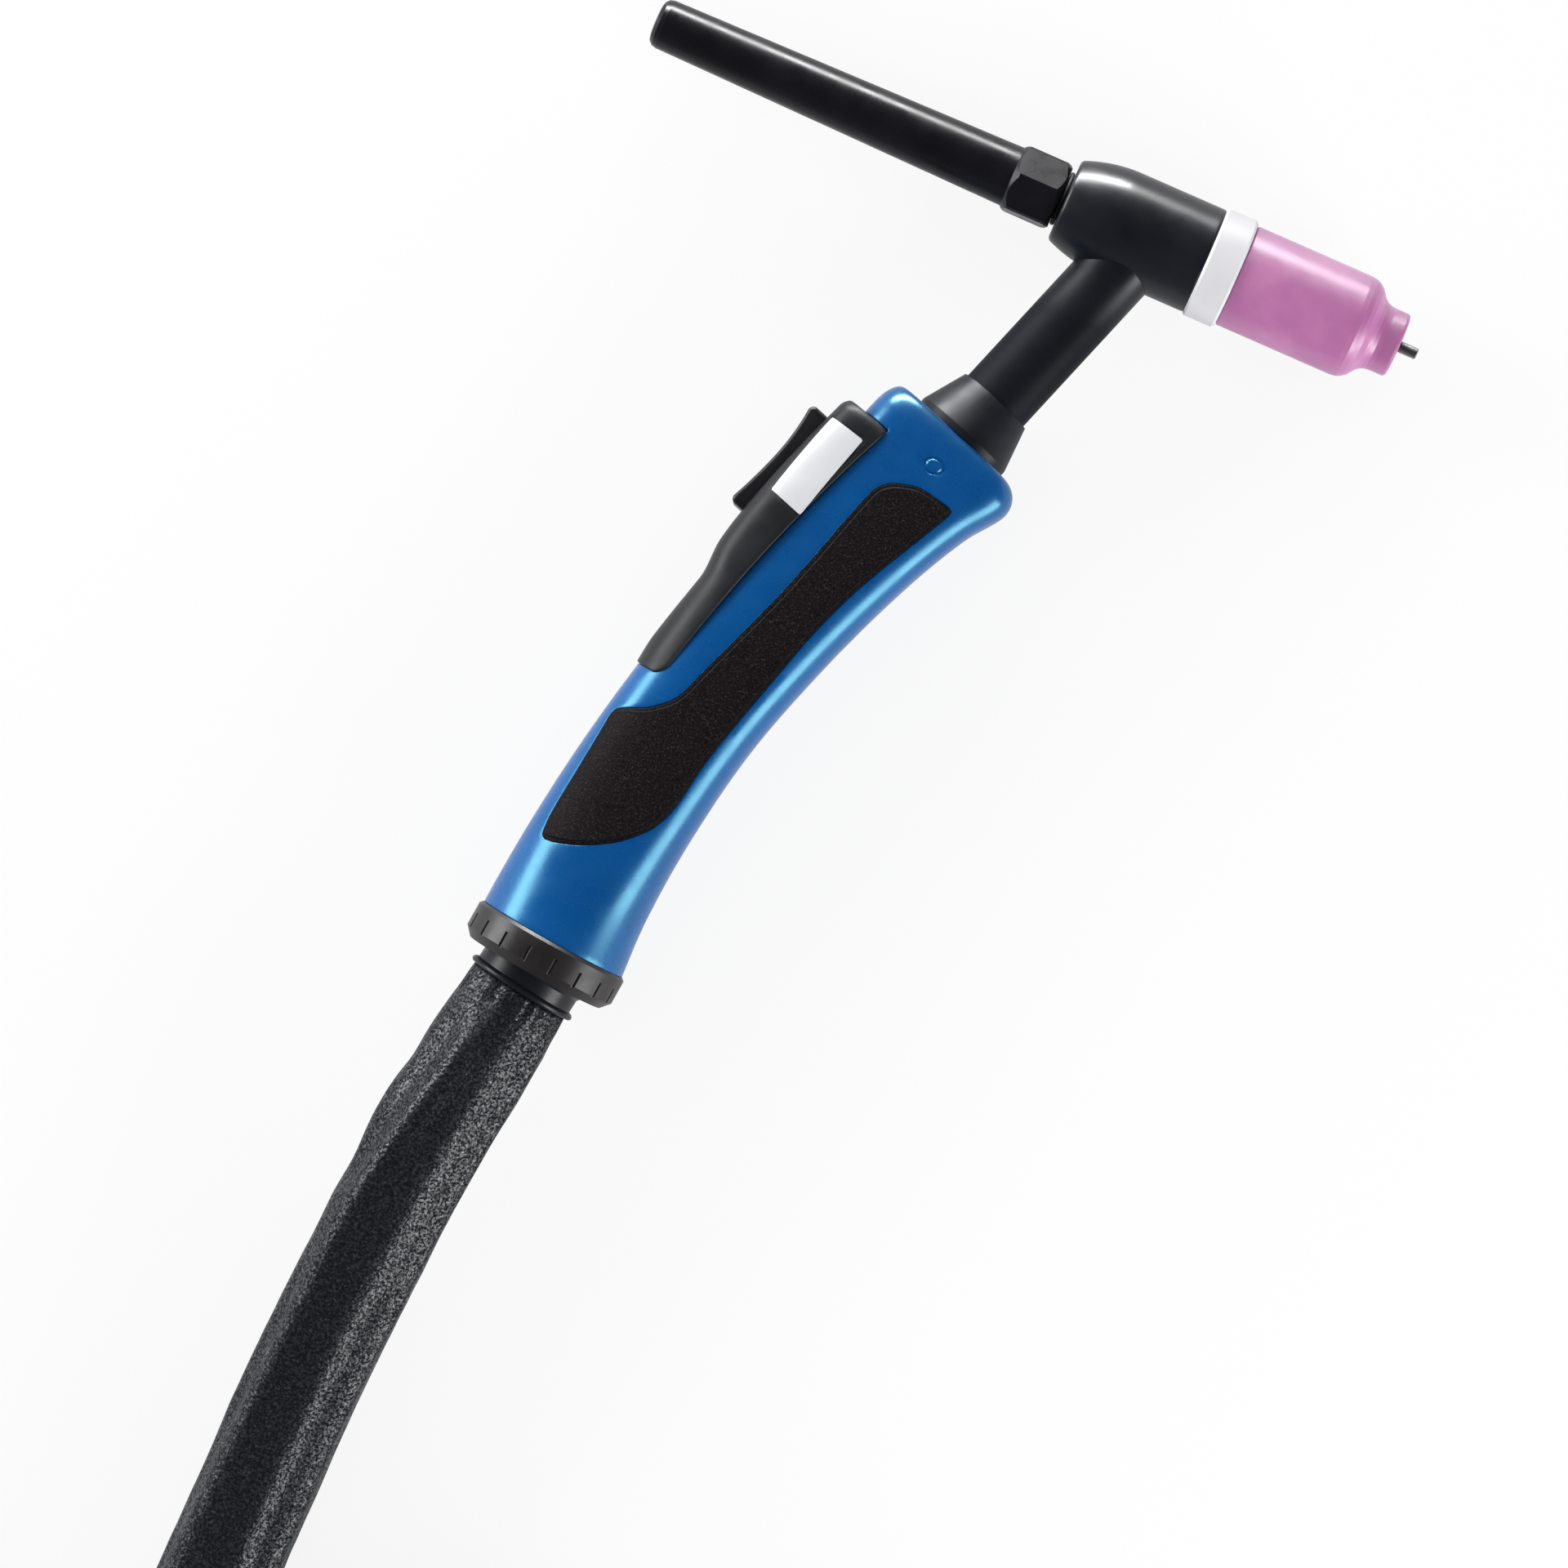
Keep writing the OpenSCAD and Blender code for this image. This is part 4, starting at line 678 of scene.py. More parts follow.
def panel(name, sheet, loops, spacing, depth, look, slot, edge, height=None, extra=(),
          mirror=False, detail=None):
    """A thin closed solid with rolled edges over part of a sheet; loops after the first are holes.

    height(points, distance from the edge) lifts the skin; extra and detail are rows of points.
    """
    marks = [edge * 0.134, edge * 0.5, edge, *extra]
    points = [loop + sign * distance * sides(loop) for distance in marks for loop in loops for sign in (1, -1)]
    need = [distance for distance in marks for _ in range(2 * len(loops))]
    low, high = loops[0].min(0), loops[0].max(0)
    grid = []
    for k, y in enumerate(np.arange(low[1], high[1], spacing * 0.87)):
        x = np.arange(low[0] + (spacing / 2 if k % 2 else 0), high[0], spacing)
        grid.append(np.stack([x, np.full(len(x), y)], -1))
    points.append(np.vstack(grid))
    need.append(marks[-1] + 0.45 * spacing)
    kept = [np.vstack(loops)]
    for pts, limit in zip(points, need):
        pts = pts[inside(pts, loops[0], loops[1:])]
        if len(pts):
            kept.append(pts[seg_distance(pts, loops) >= limit * 0.93])
    if detail is not None:
        near = norm(kept[-1][:, None] - detail, axis=2).min(1)
        kept[-1] = kept[-1][near > 0.5]
        kept.append(detail)
    edges, start = [], 0
    for loop in loops:
        n = len(loop)
        edges += [(start + i, start + (i + 1) % n) for i in range(n)]
        start += n
    out = delaunay_2d_cdt([Vector(v) for v in np.vstack(kept)], edges, [], 0, 1e-6)
    flat = np.array([tuple(v) for v in out[0]])
    tris = np.array([tuple(f) for f in out[2]])
    tris = tris[inside(flat[tris].mean(1), loops[0], loops[1:])]
    winding = np.cross(flat[tris[:, 1]] - flat[tris[:, 0]], flat[tris[:, 2]] - flat[tris[:, 0]])
    real = np.abs(winding) > 1e-9
    tris, winding = tris[real], winding[real]
    tris[winding < 0] = tris[winding < 0][:, ::-1]
    used = np.unique(tris)
    index = np.full(len(flat), -1)
    index[used] = np.arange(len(used))
    flat, tris = flat[used], index[tris]
    away = seg_distance(flat, loops)
    k = np.clip(away / edge, 0, 1)
    lift = -edge * (1 - np.sqrt(np.maximum(0, 1 - (1 - k) ** 2)))
    if height is not None:
        lift = lift + height(flat, away)
    pts = np.vstack([sheet.at(flat, lift), sheet.at(flat, -depth)])
    n = len(flat)
    pairs = {e: 1 for a, b, c in tris for e in ((a, b), (b, c), (c, a))}
    faces = [(t[2], t[1], t[0]) for t in tris] + [(t[0] + n, t[1] + n, t[2] + n) for t in tris]
    faces += [(a, b, b + n, a + n) for a, b in pairs if (b, a) not in pairs]
    if mirror:
        pts[:, 2] *= -1
        faces = [tuple(reversed(f)) for f in faces]
    obj = piece(name, row(pts), faces, look, "torch")
    obj.data.set_sharp_from_angle(angle=rad(38))
    return obj


GRIP = make_grip_sheet()
HOUSING = make_module_sheet()
INLAY = [
    [28, -5.2], [24, -2.6], [20.2, 3], [19, 12.4], [19.7, 14.6], [30, 13.8], [44, 12.3], [56, 11.1],
    [70, 10.5], [90, 10.6], [104, 10.2], [118, 9.7], [130, 10.2], [136, 9.8], [141, 8.2], [145, 5.6],
    [149, 2.4], [153, -2.6], [156.3, -8], [158.4, -13], [159, -16.9], [152, -17.9], [140, -18.2],
    [128, -18.9], [119.5, -19.8], [117, -16.8], [114, -12], [109, -8], [105, -6.6], [98, -5.9], [88, -4.8],
    [78, -3.9], [66, -3.3], [52, -3.6], [38, -4.6]]
# distance along the grip and offset from its centre line
MARK, MARK_R, MARK_WIDE, MARK_DEEP = (13.1, 1.4), 2.2, 0.55, 0.5
SCREW_HOLES, SCREW_HOLE_R = ((24, 18.2), (92, 14), (160, 13)), 2.95
BOTH_SIDES = ((False, "upper"), (True, "lower"))


def circle(s, o, r, count=28):
    a = around(count)
    return to_sheet(np.stack([s + r * np.cos(a), o + r * np.sin(a)], -1))


def make_grip():
    """The two shells and their soft inlays."""
    inlay = smooth_outline(to_sheet(INLAY))
    # the shell stops at the housing: its front edge, inner edge and rounded tail
    inner = [(s, -MODULE_INNER - 0.15 - 0.8 * max(0, (s - 91) / 14))
             for s in np.linspace(MODULE_START, TAIL_FROM, 40)]
    tail = [(s, -MODULE_INNER - 0.95 - drop) for s, drop in TAIL[1:]]
    outline = np.vstack([(-FACE_SPAN, 0), (Q_END, 0), (Q_END, GIRTH), (q_of(MODULE_END), GIRTH),
                         to_sheet(inner + tail)[::-1], (q_of(MODULE_START), GIRTH), (-FACE_SPAN, GIRTH)])
    outline = resample(outline, 1.1)
    centre = circle(*MARK, MARK_R).mean(0)

    def groove(flat, away):
        d = np.abs(norm(flat - centre, axis=1) - MARK_R)
        return -MARK_DEEP * np.clip(1 - (d / MARK_WIDE) ** 2, 0, 1)
    rows = np.vstack([circle(*MARK, r, 32) for r in (1.55, 1.85, MARK_R, 2.55, 2.85)])
    common = dict(spacing=1.35, depth=2.6, look="blue", slot="blue_plastic", edge=0.35)
    upper = panel("grip_shell_upper", GRIP, [outline, inlay], height=groove, detail=rows, **common)
    holes = [circle(*place, SCREW_HOLE_R) for place in SCREW_HOLES]
    lower = panel("grip_shell_lower", GRIP, [outline, inlay] + holes, mirror=True, **common)
    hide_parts("shell_upper")
    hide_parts("shell_lower")

    def border(flat, away):
        return 0.12 + 0.38 * np.clip((away - 0.85) / 0.35, 0, 1)
    soft = inlay + inward(inlay) * 0.1
    for mirror, name in BOTH_SIDES:
        obj = panel("inlay_" + name + "_skin", GRIP, [soft], 1.35, 1.4, "inlay", "soft_inlay",
                    edge=0.25, height=border, extra=(0.85, 1, 1.2), mirror=mirror)
        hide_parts("inlay_" + name)


# the rocker's own frame: y along its face, x out of the grip
ROCKER_AT, ROCKER_TURN, ROCKER_SHIFT = 39.5, rad(NECK + 90), -0.7
ROCKER_X = np.array([cos(ROCKER_TURN), sin(ROCKER_TURN)])
ROCKER_Y = np.array([-sin(ROCKER_TURN), cos(ROCKER_TURN)])
ROCKER_HALF, ROCKER_WIDE, ROCKER_ROUND, SLOT_ROOM = 17.5, 8.5, 1.1, (0.5, 0.25)
ROCKER_ORIGIN = station_point(
    ROCKER_AT / GRIP_LEN, -MODULE_OUTER - np.interp(ROCKER_AT, *np.array(MODULE_FLANK).T), 0)[:2]
PLATE_AT, PLATE_OFFSET, PLATE_T, PLATE_HALF, PLATE_DEEP = 34, -20.9, 0.187, (13.25, 5.35), 0.55


def make_housing():
    """The switch housing's skin with the rocker's slot, and a plate on either flank."""
    half = HOUSING.w[-1]
    # the housing's outline with its rounded tail
    tail = [(s, half - drop - 0.3) for s, drop in TAIL]
    outline = np.array([(MODULE_START, half), (MODULE_START, -half), *((s, -w) for s, w in tail), *tail[::-1]])
    outline = resample(outline, 1)
    # the slot's ends are measured along the rocker's own frame
    s_line = np.linspace(MODULE_START + 1, 70, 600)
    edge_points = np.array([station_point(v / GRIP_LEN, -module_left(v), 0)[:2] for v in s_line])
    y_line = (edge_points - ROCKER_ORIGIN) @ ROCKER_Y
    reach, wide = ROCKER_HALF + SLOT_ROOM[0], ROCKER_WIDE + SLOT_ROOM[1]
    first, last = (np.interp(ROCKER_SHIFT + y, y_line, s_line) for y in (-reach, reach))
    slot = rounded([(first, -wide), (last, -wide), (last, wide), (first, wide)], 1.4, 0.7)
    # the plates lie in shallow recesses on both flanks
    centre = station_point(PLATE_AT / GRIP_LEN, PLATE_OFFSET, 0)[:2]
    c = rad(cut_angle(PLATE_T))
    ax, ay = np.array([cos(c), sin(c)]), np.array([-sin(c), cos(c)])
    flank = HOUSING.grid[:, :len(HOUSING.w) // 2, :2]
    plate = []
    for x, y in ((-1, -1), (1, -1), (1, 1), (-1, 1)):
        corner = centre + x * PLATE_HALF[0] * ax + y * PLATE_HALF[1] * ay
        near = ((flank - corner) ** 2).sum(2)
        i, j = np.unravel_index(np.argmin(near), near.shape)
        plate.append((HOUSING.q[i], HOUSING.w[j]))
    plate = rounded(plate, 0.7, 0.8)

    def recess(flat, away):
        return np.where(inside(np.abs(flat) * [1, -1], plate), -PLATE_DEEP, 0)
    skin = panel("switch_housing_skin", HOUSING, [outline, slot], 1.2, 2.2, "module",
                 "black_plastic", edge=0.5, height=recess)
    # a wall closes the housing's front end
    across = np.linspace(-half + 0.2, half - 0.2, 121)
    loops = [HOUSING.at(np.stack([np.full(len(across), MODULE_START + d), across], -1), -0.35)
             for d in (0.45, 1.75)]
    wall = piece("front_wall", row(np.vstack(loops)), ring_faces(2, len(across)), "module", None,
                 smooth=False)
    face_out(wall, joined=skin)
    bpy.data.objects.remove(wall)
    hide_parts("module_housing")
    for mirror, name in BOTH_SIDES:
        obj = panel("plate_" + name, HOUSING, [plate], 1.3, 0.6, "label", "label_foil", edge=0.12,
                    height=lambda flat, away: 0.08, mirror=mirror)
        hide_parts("label_" + name)


def make_rocker():
    """Dished rocker: a profile along the grip, its flanks rounded over."""
    half, r = ROCKER_HALF, ROCKER_ROUND
    reach = half - 1.6
    profile = [(-3.6, -half + 1.2), (-1.2, -half), (3.9, -half), (4.8, -half + 0.5)]
    profile += [(3.3 + (1.9 if y < 0 else 0.9) * (y / reach) ** 2, y) for y in np.linspace(-reach, reach, 17)]
    profile += [(3.8, half - 0.5), (2.9, half), (-1.2, half), (-3.6, half - 1.2)]
    radii = [1.2, 1.2, 1.4, 1.4] + [0.8] * 17 + [1.4, 1.4, 1.2, 1.2]
    outline = rounded(profile, radii, 0.8)
    # inset and height of each ring, from the lower flank to the upper one
    levels = [(r * (1 - sin(a)), r * (1 - cos(a)) - ROCKER_WIDE) for a in np.linspace(0, pi / 2, 6)]
    levels += [(0, z) for z in np.linspace(r - ROCKER_WIDE, 0, 5)[1:]]
    levels += [(inset, -z) for inset, z in levels[-2::-1]]
    rings = []
    for inset, z in levels:
        ring = outline + inward(outline) * inset
        flat = ROCKER_ORIGIN + ring[:, :1] * ROCKER_X + (ring[:, 1:] + ROCKER_SHIFT) * ROCKER_Y
        rings.append(np.column_stack([flat, np.full(len(flat), z)]))
    obj = piece("rocker_cap", row(np.vstack(rings)), ring_faces(len(levels), len(outline)),
                "rocker", "rocker")
    face_out(obj)
    obj.data.set_sharp_from_angle(angle=rad(38))
    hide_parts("rocker")


make_grip()
make_housing()
make_rocker()

# ---------- head
HEAD_R, BACK, FRONT = 15.3, -21, 21.5
SHOULDER_R, SHOULDER_X = 43, -4
# bores at the back and the front, the room inside and its walls
BACK_BORE, FRONT_BORE, ROOM_R, FRONT_WALL, BACK_WALL = 6.5, 7.1, 9.55, 1.45, 1.95
NECK_R, NECK_BORE, NECK_FROM, NECK_MORE = 10.5, 6.6, 11, 11
FLANGE, FLANGE_R, FLANGE_LEN = NECK_LEN + 5.3, NECK_R + 2.5, 3


def turned(name, profile, count, place):
    """A closed ring of (along, radius) points turned round an axis that place() lays down."""
    a = around(count)
    verts = np.concatenate([place(np.full(count, x), r * np.cos(a), r * np.sin(a)) for x, r in profile])
    obj = piece(name, row(verts), ring_faces(len(profile), count, True), "head", None)
    face_out(obj)
    return obj


def make_head():
    """Rubber head and neck as one skin: a barrel with drawn-in shoulders, the neck at its side."""
    def shoulder(x):
        return HEAD_R - SHOULDER_R + sqrt(SHOULDER_R ** 2 - min(0, x - SHOULDER_X) ** 2)
    x0 = BACK + 1.1
    slope = (shoulder(x0 + 0.01) - shoulder(x0)) / 0.01
    profile = [(BACK, BACK_BORE)]
    profile += [*bezier(np.array((BACK, 10.6)), np.array((BACK, shoulder(x0) - 1.1 * slope)),
                        np.array((x0, shoulder(x0))), 9)]
    profile += [(x, shoulder(x)) for x in np.arange(x0 + 0.8, FRONT - 1, 0.8)]
    corner = np.array((FRONT, HEAD_R))
    profile += [*bezier(corner - (0.7, 0), corner, corner - (0, 0.7), 6)]
    profile += [(FRONT, FRONT_BORE), (FRONT - FRONT_WALL, FRONT_BORE),
                (FRONT - FRONT_WALL, ROOM_R), (BACK + BACK_WALL, ROOM_R), (BACK + BACK_WALL, BACK_BORE)]
    barrel = turned("head_and_neck", profile, 128, lambda x, y, z: np.stack([x, y, z], -1))
    c, d = cos(rad(NECK)), sin(rad(NECK))
    rows = [*np.arange(NECK_FROM, 30, 0.8), *np.arange(30, NECK_LEN + 5, 5)]
    stem = [(s, NECK_R) for s in rows]
    stem += [(FLANGE, NECK_R), (FLANGE, FLANGE_R), (FLANGE + FLANGE_LEN, FLANGE_R),
             (FLANGE + FLANGE_LEN, NECK_R), (NECK_LEN + NECK_MORE, NECK_R),
             (NECK_LEN + NECK_MORE, NECK_BORE), (NECK_FROM, NECK_BORE)]
    neck = turned("neck_part", stem, 112,
                  lambda x, y, z: np.stack([NECK_SHIFT - c * x + d * y, -d * x - c * y, z], -1))
    join = barrel.modifiers.new("join", "BOOLEAN")
    join.operation, join.solver, join.object = "UNION", "EXACT", neck
    joined = barrel.evaluated_get(bpy.context.evaluated_depsgraph_get())
    mesh = bpy.data.meshes.new_from_object(joined)
    barrel.modifiers.clear()
    barrel.data = mesh
    bpy.data.objects.remove(neck)
    mesh.polygons.foreach_set("use_smooth", [True] * len(mesh.polygons))
    mesh.set_sharp_from_angle(angle=rad(32))
    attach(barrel, "torch")
    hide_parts("head_cover")


# ---------- cords: routes as in the part
# millimetres in the row frame
FLOOR_Z = -16
CABLE_D, SLEEVE_D = 16, 34
OUTLET_SWING, OUTLET_END, CUFF_LEN = 3.5, 16.8, 38


def lie(p):
    """A point of the torch's plane in the row frame."""
    return row([*p, 0]) / MM


OUT_DIR_T = down(REAR_ANGLE - OUTLET_SWING)
OUT_DIR = lie(REAR + OUT_DIR_T) - lie(REAR)
CUFF_START = lie(REAR + (OUTLET_END + 0.05) * OUT_DIR_T)
CUFF_END = CUFF_START + CUFF_LEN * OUT_DIR

SLEEVE_ROUTE = [
    [-164.7, -312, 8.4], [-165.9, -326, 8], [-166.9, -342, 7], [-167.8, -360, 5.5], [-168.6, -380, 3.8],
    [-169.2, -402, 2.4], [-169.6, -426, 1.4], [-169.8, -455, 1], [-169.8, -485, 1], [-169.8, -515, 1],
    [-169.8, -545, 1], [-166.8, -574, 1], [-158, -602, 1], [-143, -627, 1], [-124, -649, 1], [-100, -666, 1],
    [-73, -678, 1.2], [-50, -683.6, 1.4]]
SLEEVE_STOP = np.array([-30, -685, 1.4])
COIL_X, COIL_Y, COIL_R, COIL_PITCH = -30, -545, 114, 16.7
COIL_LOOPS, COIL_START = 2.1, 20
COIL_TURNS = 2 * COIL_LOOPS + 0.5
TIE_THICK, TIE_HALF, TIE_LAP = 1.6, 10, 24
COIL_FLOOR = FLOOR_Z + TIE_THICK + 0.2 + CABLE_D / 2
COIL_STEP = CABLE_D + 0.6
STRAP_R = CABLE_D / 2 + 0.9 + TIE_THICK / 2
RUN_ROUTE = [
    [-14, -685, 1.4], [0, -685, 1.4], [13, -683, 0.5], [31, -676.2, -2.6], [48, -666.2, -5.2],
    [65, -651, -7.4], [80.5, -630.5, -8], [91, -607, -8], [94.8, -582, -8], [93.5, -557, -7.8],
    [88.5, -532, -7]]
TAIL_ROUTE = [
    [-6, -658, 10.4], [14, -654.4, 10.2], [35, -648.5, 9.8], [55, -639.4, 9.4], [75, -627, 9.2],
    [93, -610.5, 9], [108, -590, 8.6], [117.6, -566, 8.2], [120, -545, 8]]
PLUG = np.array([120, -501, 8])


def coil_at(u):
    """Point of the coil after u turns: inward below, up, and outward above."""
    a = np.radians(COIL_START + 360 * u)
    r = COIL_R - COIL_PITCH * (COIL_TURNS / 2 - np.abs(u - COIL_TURNS / 2))
    return np.stack([COIL_X + r * np.cos(a), COIL_Y + r * np.sin(a),
                     COIL_FLOOR + COIL_STEP * ease(u, COIL_LOOPS, COIL_LOOPS + 0.5)], -1)


def nearest(path, point):
    return int(np.argmin(norm(path - point, axis=1)))


def make_cable():
    """The cable from the sleeve's end through its coil to the connector, as one piece."""
    count = 28
    coil = coil_at(np.linspace(0, COIL_TURNS, int(COIL_TURNS * 48) + 1))
    run = catmull([SLEEVE_STOP + [0.05, 0, 0], *RUN_ROUTE, coil[0], coil[2]], 5)
    tail = catmull([coil[-3], coil[-1], *TAIL_ROUTE, PLUG - [0, 22, 0], PLUG - [0, 0.05, 0]], 5)
    path = even(np.vstack([run[:nearest(run, coil[0])], coil, tail[nearest(tail, coil[-1]) + 1:]]), 6)
    verts = tube_points(path, CABLE_D / 2, count, (1, 0, 0), (0, 1, 0)) * MM
    obj = piece("cable_with_coil", verts, ring_faces(len(path), count), "cable", "torch")
    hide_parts("cable_run", "cable_coil", "cable_tail")
    return obj, path


def value_noise(s, count, cells, seed):
    """Smooth random field over distances s and points round the tube, joined up round it."""
    ny, nx = cells
    g = np.random.RandomState(seed).uniform(-1, 1, (ny + 2, nx))
    y, x = (s / s[-1] * ny)[:, None], np.linspace(0, nx, count, endpoint=False)
    y0, x0 = np.floor(y).astype(int), np.floor(x).astype(int)
    fy, fx = ease(y - y0), ease(x - x0)
    a, b = g[y0, x0 % nx], g[y0, (x0 + 1) % nx]
    c, d = g[y0 + 1, x0 % nx], g[y0 + 1, (x0 + 1) % nx]
    return (a * (1 - fx) + b * fx) * (1 - fy) + (c * (1 - fx) + d * fx) * fy


def draped(s, a):
    """Folds of the leather by distance from the rim and degrees: 0 at the thumb's side, 90 on top."""
    main = 74 - 19 * ease(s, 25, 80)
    h = 1.6 * bell(a, main, 14) * ease(s, 8, 24) * (1 - 0.5 * ease(s, 80, 110))
    h -= 1.6 * bell(a, main - 28, 15) * ease(s, 10, 24) * (1 - ease(s, 55, 80))
    h -= 0.7 * bell(s, 31, 7) * bell(a, 6, 26) + 0.7 * bell(s, 63, 8) * bell(a, 4, 24)
    h += 0.25 * bell(s, 47, 8) * bell(a, 10, 24)
    h -= 0.8 * bell(a, 96, 30) * ease(s, 10, 40)
    h += 1.2 * bell(a, 152 + 4 * np.sin(s / 33), 11)
    h -= 0.9 * bell(a, 126 + 5 * np.sin(s / 33 + 0.4), 12)
    late = 0.8 * bell(a, 50 + 6 * np.sin(s / 47), 12) - 0.7 * bell(a, 26 + 6 * np.sin(s / 41), 12)
    return h + ease(s, 85, 110) * late


def make_sleeve():
    """Cuff at the ball and the long leather sleeve behind it, cut from one draped tube."""
    n = 112
    cuff_path = CUFF_START + np.linspace(0, 1, 33)[:, None] * (CUFF_END - CUFF_START)
    path = catmull([CUFF_END - 6 * OUT_DIR, CUFF_END, *SLEEVE_ROUTE, SLEEVE_STOP - [8, 0, 0], SLEEVE_STOP], 2)
    path = path[nearest(path, CUFF_END):]
    path[0] = CUFF_END
    whole = np.vstack([cuff_path[:-1], path])
    s = run_of(whole)
    left = s[-1] - s
    a = around(n)
    cells = int(s[-1] / 40)
    folds = 0.3 * value_noise(s, n, (cells, 7), 11) + 0.2 * value_noise(s, n, (cells * 3, 13), 12)
    folds += 0.06 * value_noise(s, n, (cells * 9, 36), 13)
    folds += draped(s[:, None], (np.degrees(a) + 90) % 360 - 90)
    seam = bell((a - pi * 1.62 + pi) % (2 * pi) - pi, 0, 0.10)
    base = np.interp(s, [0, 2, 4.5, 13, 25, 38], [14.7, 15, 15.3, 16.2, 16.8, 17])
    base = (base - 0.9 * np.clip(1 - left / 26, 0, 1))[:, None]
    r = base - 0.65 + folds + 0.5 * seam
    # gathers under the rim, and a plain round end in the ring
    pinch = bell(s[:, None], 0, 7.6)
    r = r * (1 - pinch) + (base - 0.3 + 0.38 * np.cos(a * 19 + 2 * np.sin(a * 3))) * pinch
    r = np.minimum(r, base + 0.9)
    end = np.clip(left / 20, 0, 1)[:, None]
    r = r * end + (base - 0.35) * (1 - end)
    verts = tube_points(whole, r, n, OUT_DIR, (1, 0, 0))
    verts[:, 2] = np.maximum(verts[:, 2], FLOOR_Z + 0.05)
    # both pieces shade with the normals of the uncut tube, so the joint doesn't show
    uncut = bpy.data.meshes.new("uncut_tube")
    uncut.from_pydata([tuple(v) for v in verts], [], ring_faces(len(whole), n))
    uncut.update()
    normals = [tuple(v.normal) for v in uncut.vertices]
    bpy.data.meshes.remove(uncut)
    cut = len(cuff_path) - 1
    cuff = piece("leather_cuff", verts[:(cut + 1) * n] * MM, ring_faces(cut + 1, n), "leather", None)
    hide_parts("sleeve_cuff")
    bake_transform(cuff)
    sleeve = piece("leather_sleeve_tube", verts[cut * n:] * MM, ring_faces(len(whole) - cut, n),
                   "leather", None)
    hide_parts("leather_sleeve")
    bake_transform(sleeve)
    cuff.data.normals_split_custom_set_from_vertices(normals[:(cut + 1) * n])
    sleeve.data.normals_split_custom_set_from_vertices(normals[cut * n:])
    return sleeve, path


def make_straps():
    """Two woven straps round the coil, their ends lapped on top."""
    verts, faces = [], []
    # the strap's cross section (across, up), with a welt along each edge
    welt = [(TIE_HALF, 0), (9.8, 0.62), (9.2, 0.8), (8.3, 0.62), (7.4, 0.8)]
    rim = [(-w, h) for w, h in welt] + [(0, 0.8)] + welt[::-1]
    rim = np.array(rim + [(9.8, -0.62), (9.2, -0.8), (0, -0.8), (-9.2, -0.8), (-9.8, -0.62)])
    for angle in (140, 320):
        turns = [u for u in ((angle - COIL_START) / 360 + k for k in range(6)) if u <= COIL_TURNS]
        passes = coil_at(np.array(turns)) - [COIL_X, COIL_Y, 0]
        round_them = [(hypot(x, y) + STRAP_R * cos(b), z + STRAP_R * sin(b))
                      for x, y, z in passes for b in around(60)]
        hull = convex_hull_2d(round_them)
        loop = resample(np.array(round_them)[hull[::-1]], 1.2)
        loop[:, 1] = np.maximum(loop[:, 1], FLOOR_Z + TIE_THICK / 2 + 0.02)
        for _ in range(2):
            loop = (np.roll(loop, 1, axis=0) + 2 * loop + following(loop)) / 4
        # it starts on top, goes once round and laps over its own start
        top = np.where(loop[:, 1] > loop[:, 1].max() - 0.3)[0]
        loop = np.roll(loop, -top[np.argmin(np.abs(loop[top, 0] - loop[:, 0].mean()))], axis=0)
        size = len(loop)
        k = np.arange(size + TIE_LAP)
        lifted = (TIE_THICK * 1.04 * ease(k, size - 16, size - 4))[:, None]
        line = loop[k % size] + sides(loop)[k % size] * lifted
        d = unit(np.gradient(line, axis=0))
        c, s = cos(rad(angle)), sin(rad(angle))
        out = line[:, :1] - d[:, 1:] * rim[:, 1]
        up = np.maximum(line[:, 1:] + d[:, :1] * rim[:, 1], FLOOR_Z + 0.02)
        faces += [tuple(i + len(verts) for i in f) for f in ring_faces(len(line), len(rim))]
        verts += [*np.stack([COIL_X + out * c - rim[:, 0] * s, COIL_Y + out * s + rim[:, 0] * c, up],
                            -1).reshape(-1, 3) * MM]
    obj = piece("coil_straps", verts, faces, "strap", "torch")
    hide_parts("coil_ties")


make_head()
cable, cable_path = make_cable()
make_straps()
sleeve, sleeve_path = make_sleeve()
float(run_of(sleeve_path)[-1]) * MM
float(run_of(cable_path)[-1]) * MM

# ---------- stage and light
FLOOR_HALF, FLOOR_GAP = 3, 1e-4
ROOM_LIGHT = 0.36
LAMP_AIM = Vector((-0.14, -0.16, 0))
# angle in the picture, height, distance, size across and up, brightness, what it leaves out
LAMPS = {
    "ceiling_fill": (90, 2.2, 0.3, 2.4, 2.4, 0.26, "visible_glossy"),
    "top_fill": (90, 0.45, 1.4, 1.7, 0.6, 4, "visible_glossy"),
    "top_strip": (90, 0.18, 1.5, 1.3, 0.38, 60, "visible_diffuse"),
    "right_box": (-45, 0.46, 1.4, 0.85, 0.7, 11, None),
    "left_box": (150, 0.4, 1.4, 1, 0.6, 12, None)}


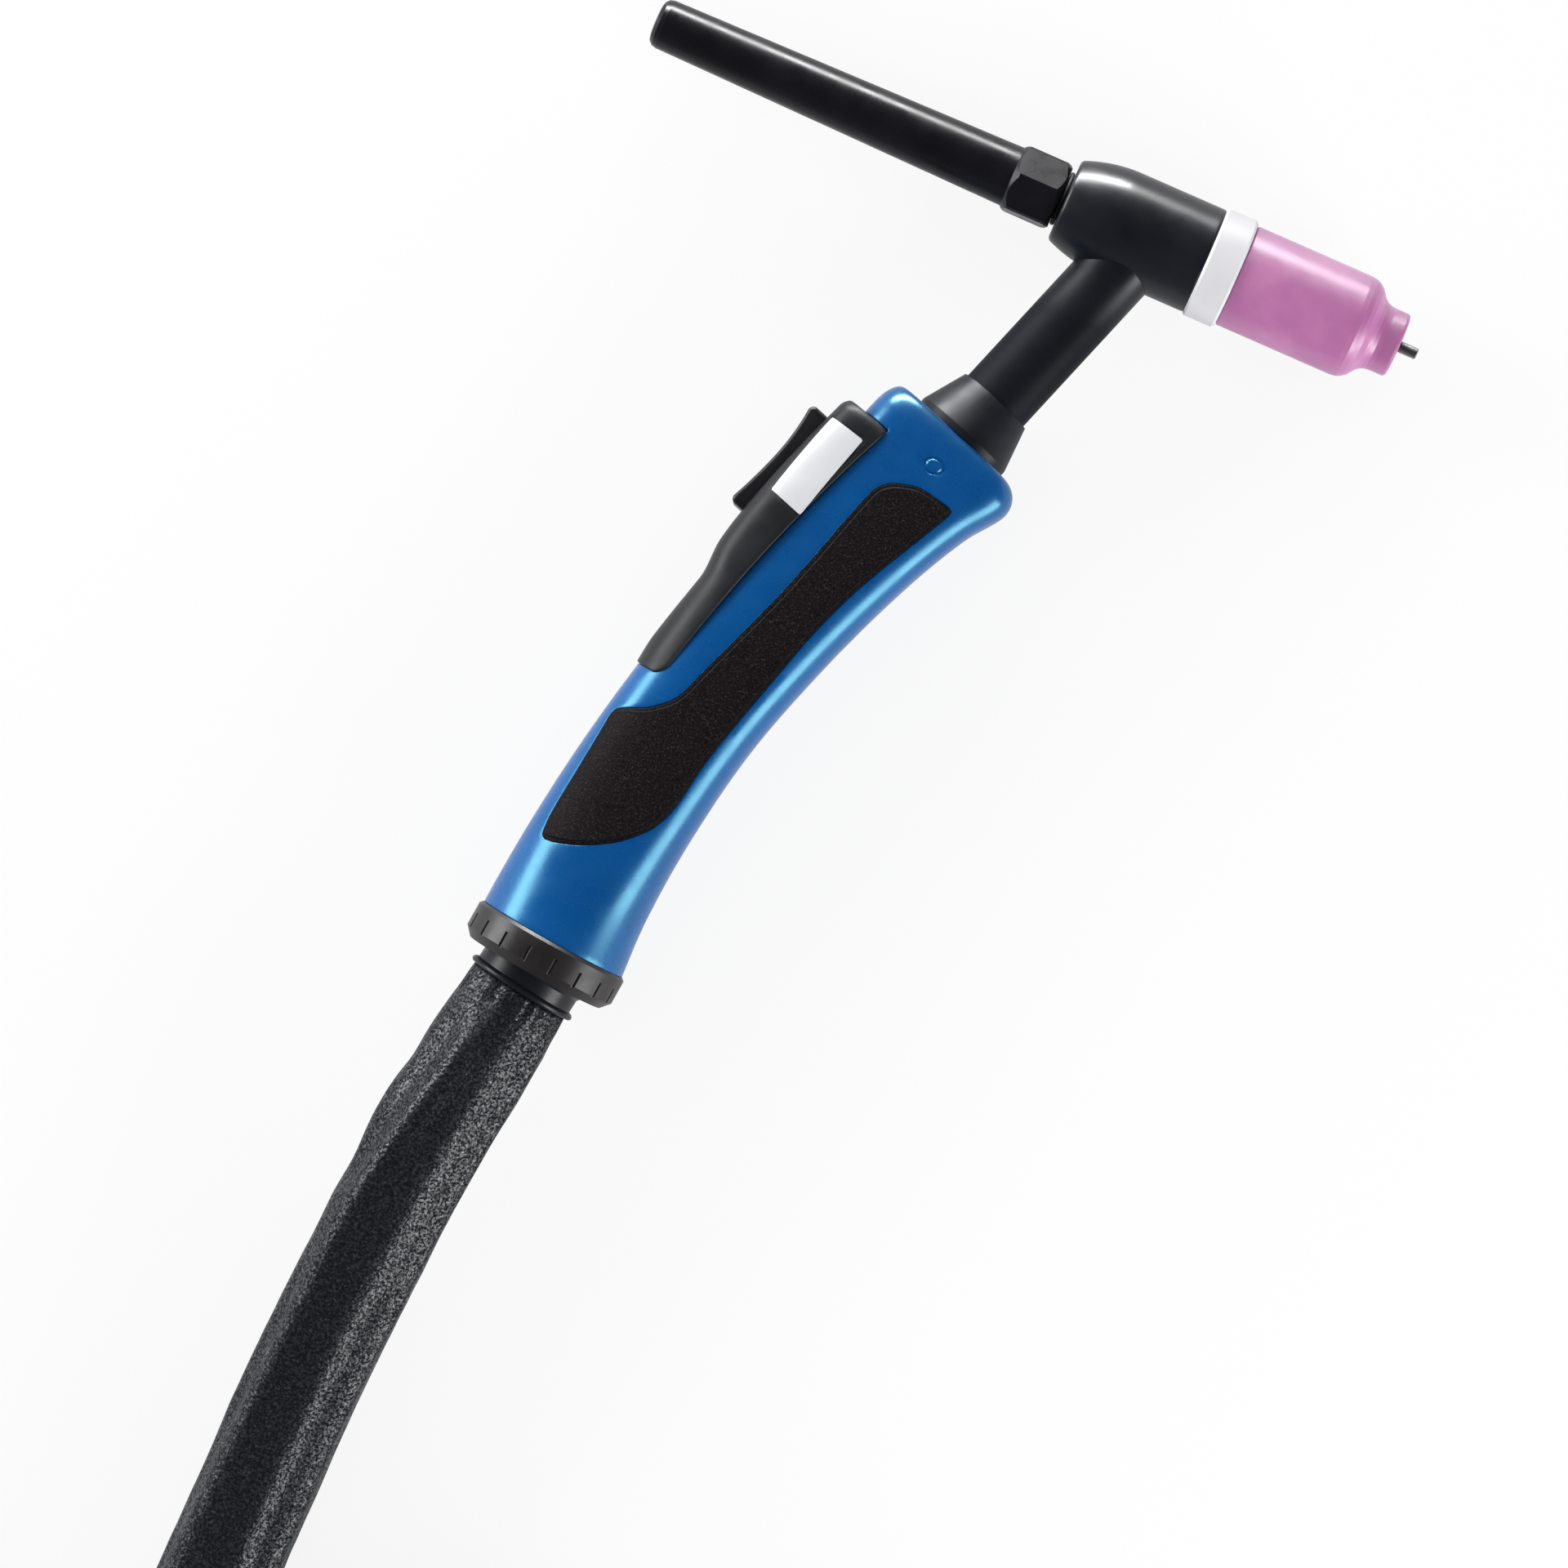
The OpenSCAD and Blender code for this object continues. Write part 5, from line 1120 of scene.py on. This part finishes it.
def make_floor():
    """A pale bench that the camera sees as nearly white."""
    mesh = bpy.data.meshes.new("floor")
    z = FLOOR_Z * MM - FLOOR_GAP
    mesh.from_pydata([(x * FLOOR_HALF, y * FLOOR_HALF, z)
                      for x, y in ((-1, -1), (1, -1), (1, 1), (-1, 1))], [], [(0, 1, 2, 3)])
    floor = placed("floor", mesh)
    n = material("pale_floor")
    n.set(Base_Color=(0.86, 0.86, 0.87, 1), Roughness=0.9, Specular_IOR_Level=0.1)
    glow = n.add("Emission", {"Color": (1, 1, 1, 1), "Strength": 1})
    rays = n.add("LightPath").outputs
    camera, gloss, through = (n.math("MULTIPLY", rays["Is " + kind + " Ray"], share) for kind, share
                              in (("Camera", 0.86), ("Glossy", 0.3), ("Transmission", 0.86)))
    share = n.math("MAXIMUM", n.math("MAXIMUM", camera, gloss), through)
    n.mix_out(share, n.bsdf, glow, "Material Output")
    mesh.materials.append(n.owner)


def make_world():
    """Even light from the room, a darker ceiling in the gloss, white behind the object."""
    n = Nodes(bpy.data.worlds.new("studio"), "Generated")
    place = n.add("SeparateXYZ", {0: n.coords})
    ceiling = n.ramp(place.outputs["Z"], (0, 0.4), (0.5, 0.16), (1, 0.03))
    rays = n.add("LightPath").outputs
    level = n.add("Mix", {"Factor": rays["Is Glossy Ray"], "A": ROOM_LIGHT, "B": ceiling}, data_type="FLOAT")
    room = n.tree.nodes["Background"]
    n.feed(room.inputs["Color"], (1, 1, 1, 1))
    n.feed(room.inputs["Strength"], level.outputs["Result"])
    white = n.add("Background", {"Color": (1, 1, 1, 1), "Strength": 1})
    n.mix_out(rays["Is Camera Ray"], room, white, "World Output")
    scene.world = n.owner
    scene.view_settings.view_transform = "Standard"


def make_lamps():
    """Soft rectangles facing the object; their brightness is that of the lamp's face."""
    for name, (azimuth, height, far, size, size_y, radiance, without) in LAMPS.items():
        data = bpy.data.lights.new(name, "AREA")
        data.shape = "RECTANGLE"
        data.size, data.size_y, data.energy = size, size_y, radiance * pi * size * size_y
        obj = placed(name, data)
        a = rad(azimuth)
        way = cos(a) * IMAGE_RIGHT + sin(a) * IMAGE_UP
        obj.location = LAMP_AIM + far * way + Vector((0, 0, height))
        obj.rotation_euler = (LAMP_AIM - obj.location).to_track_quat("-Z", "Y").to_euler()
        if without:
            setattr(obj, without, False)


make_floor()
make_world()
make_lamps()
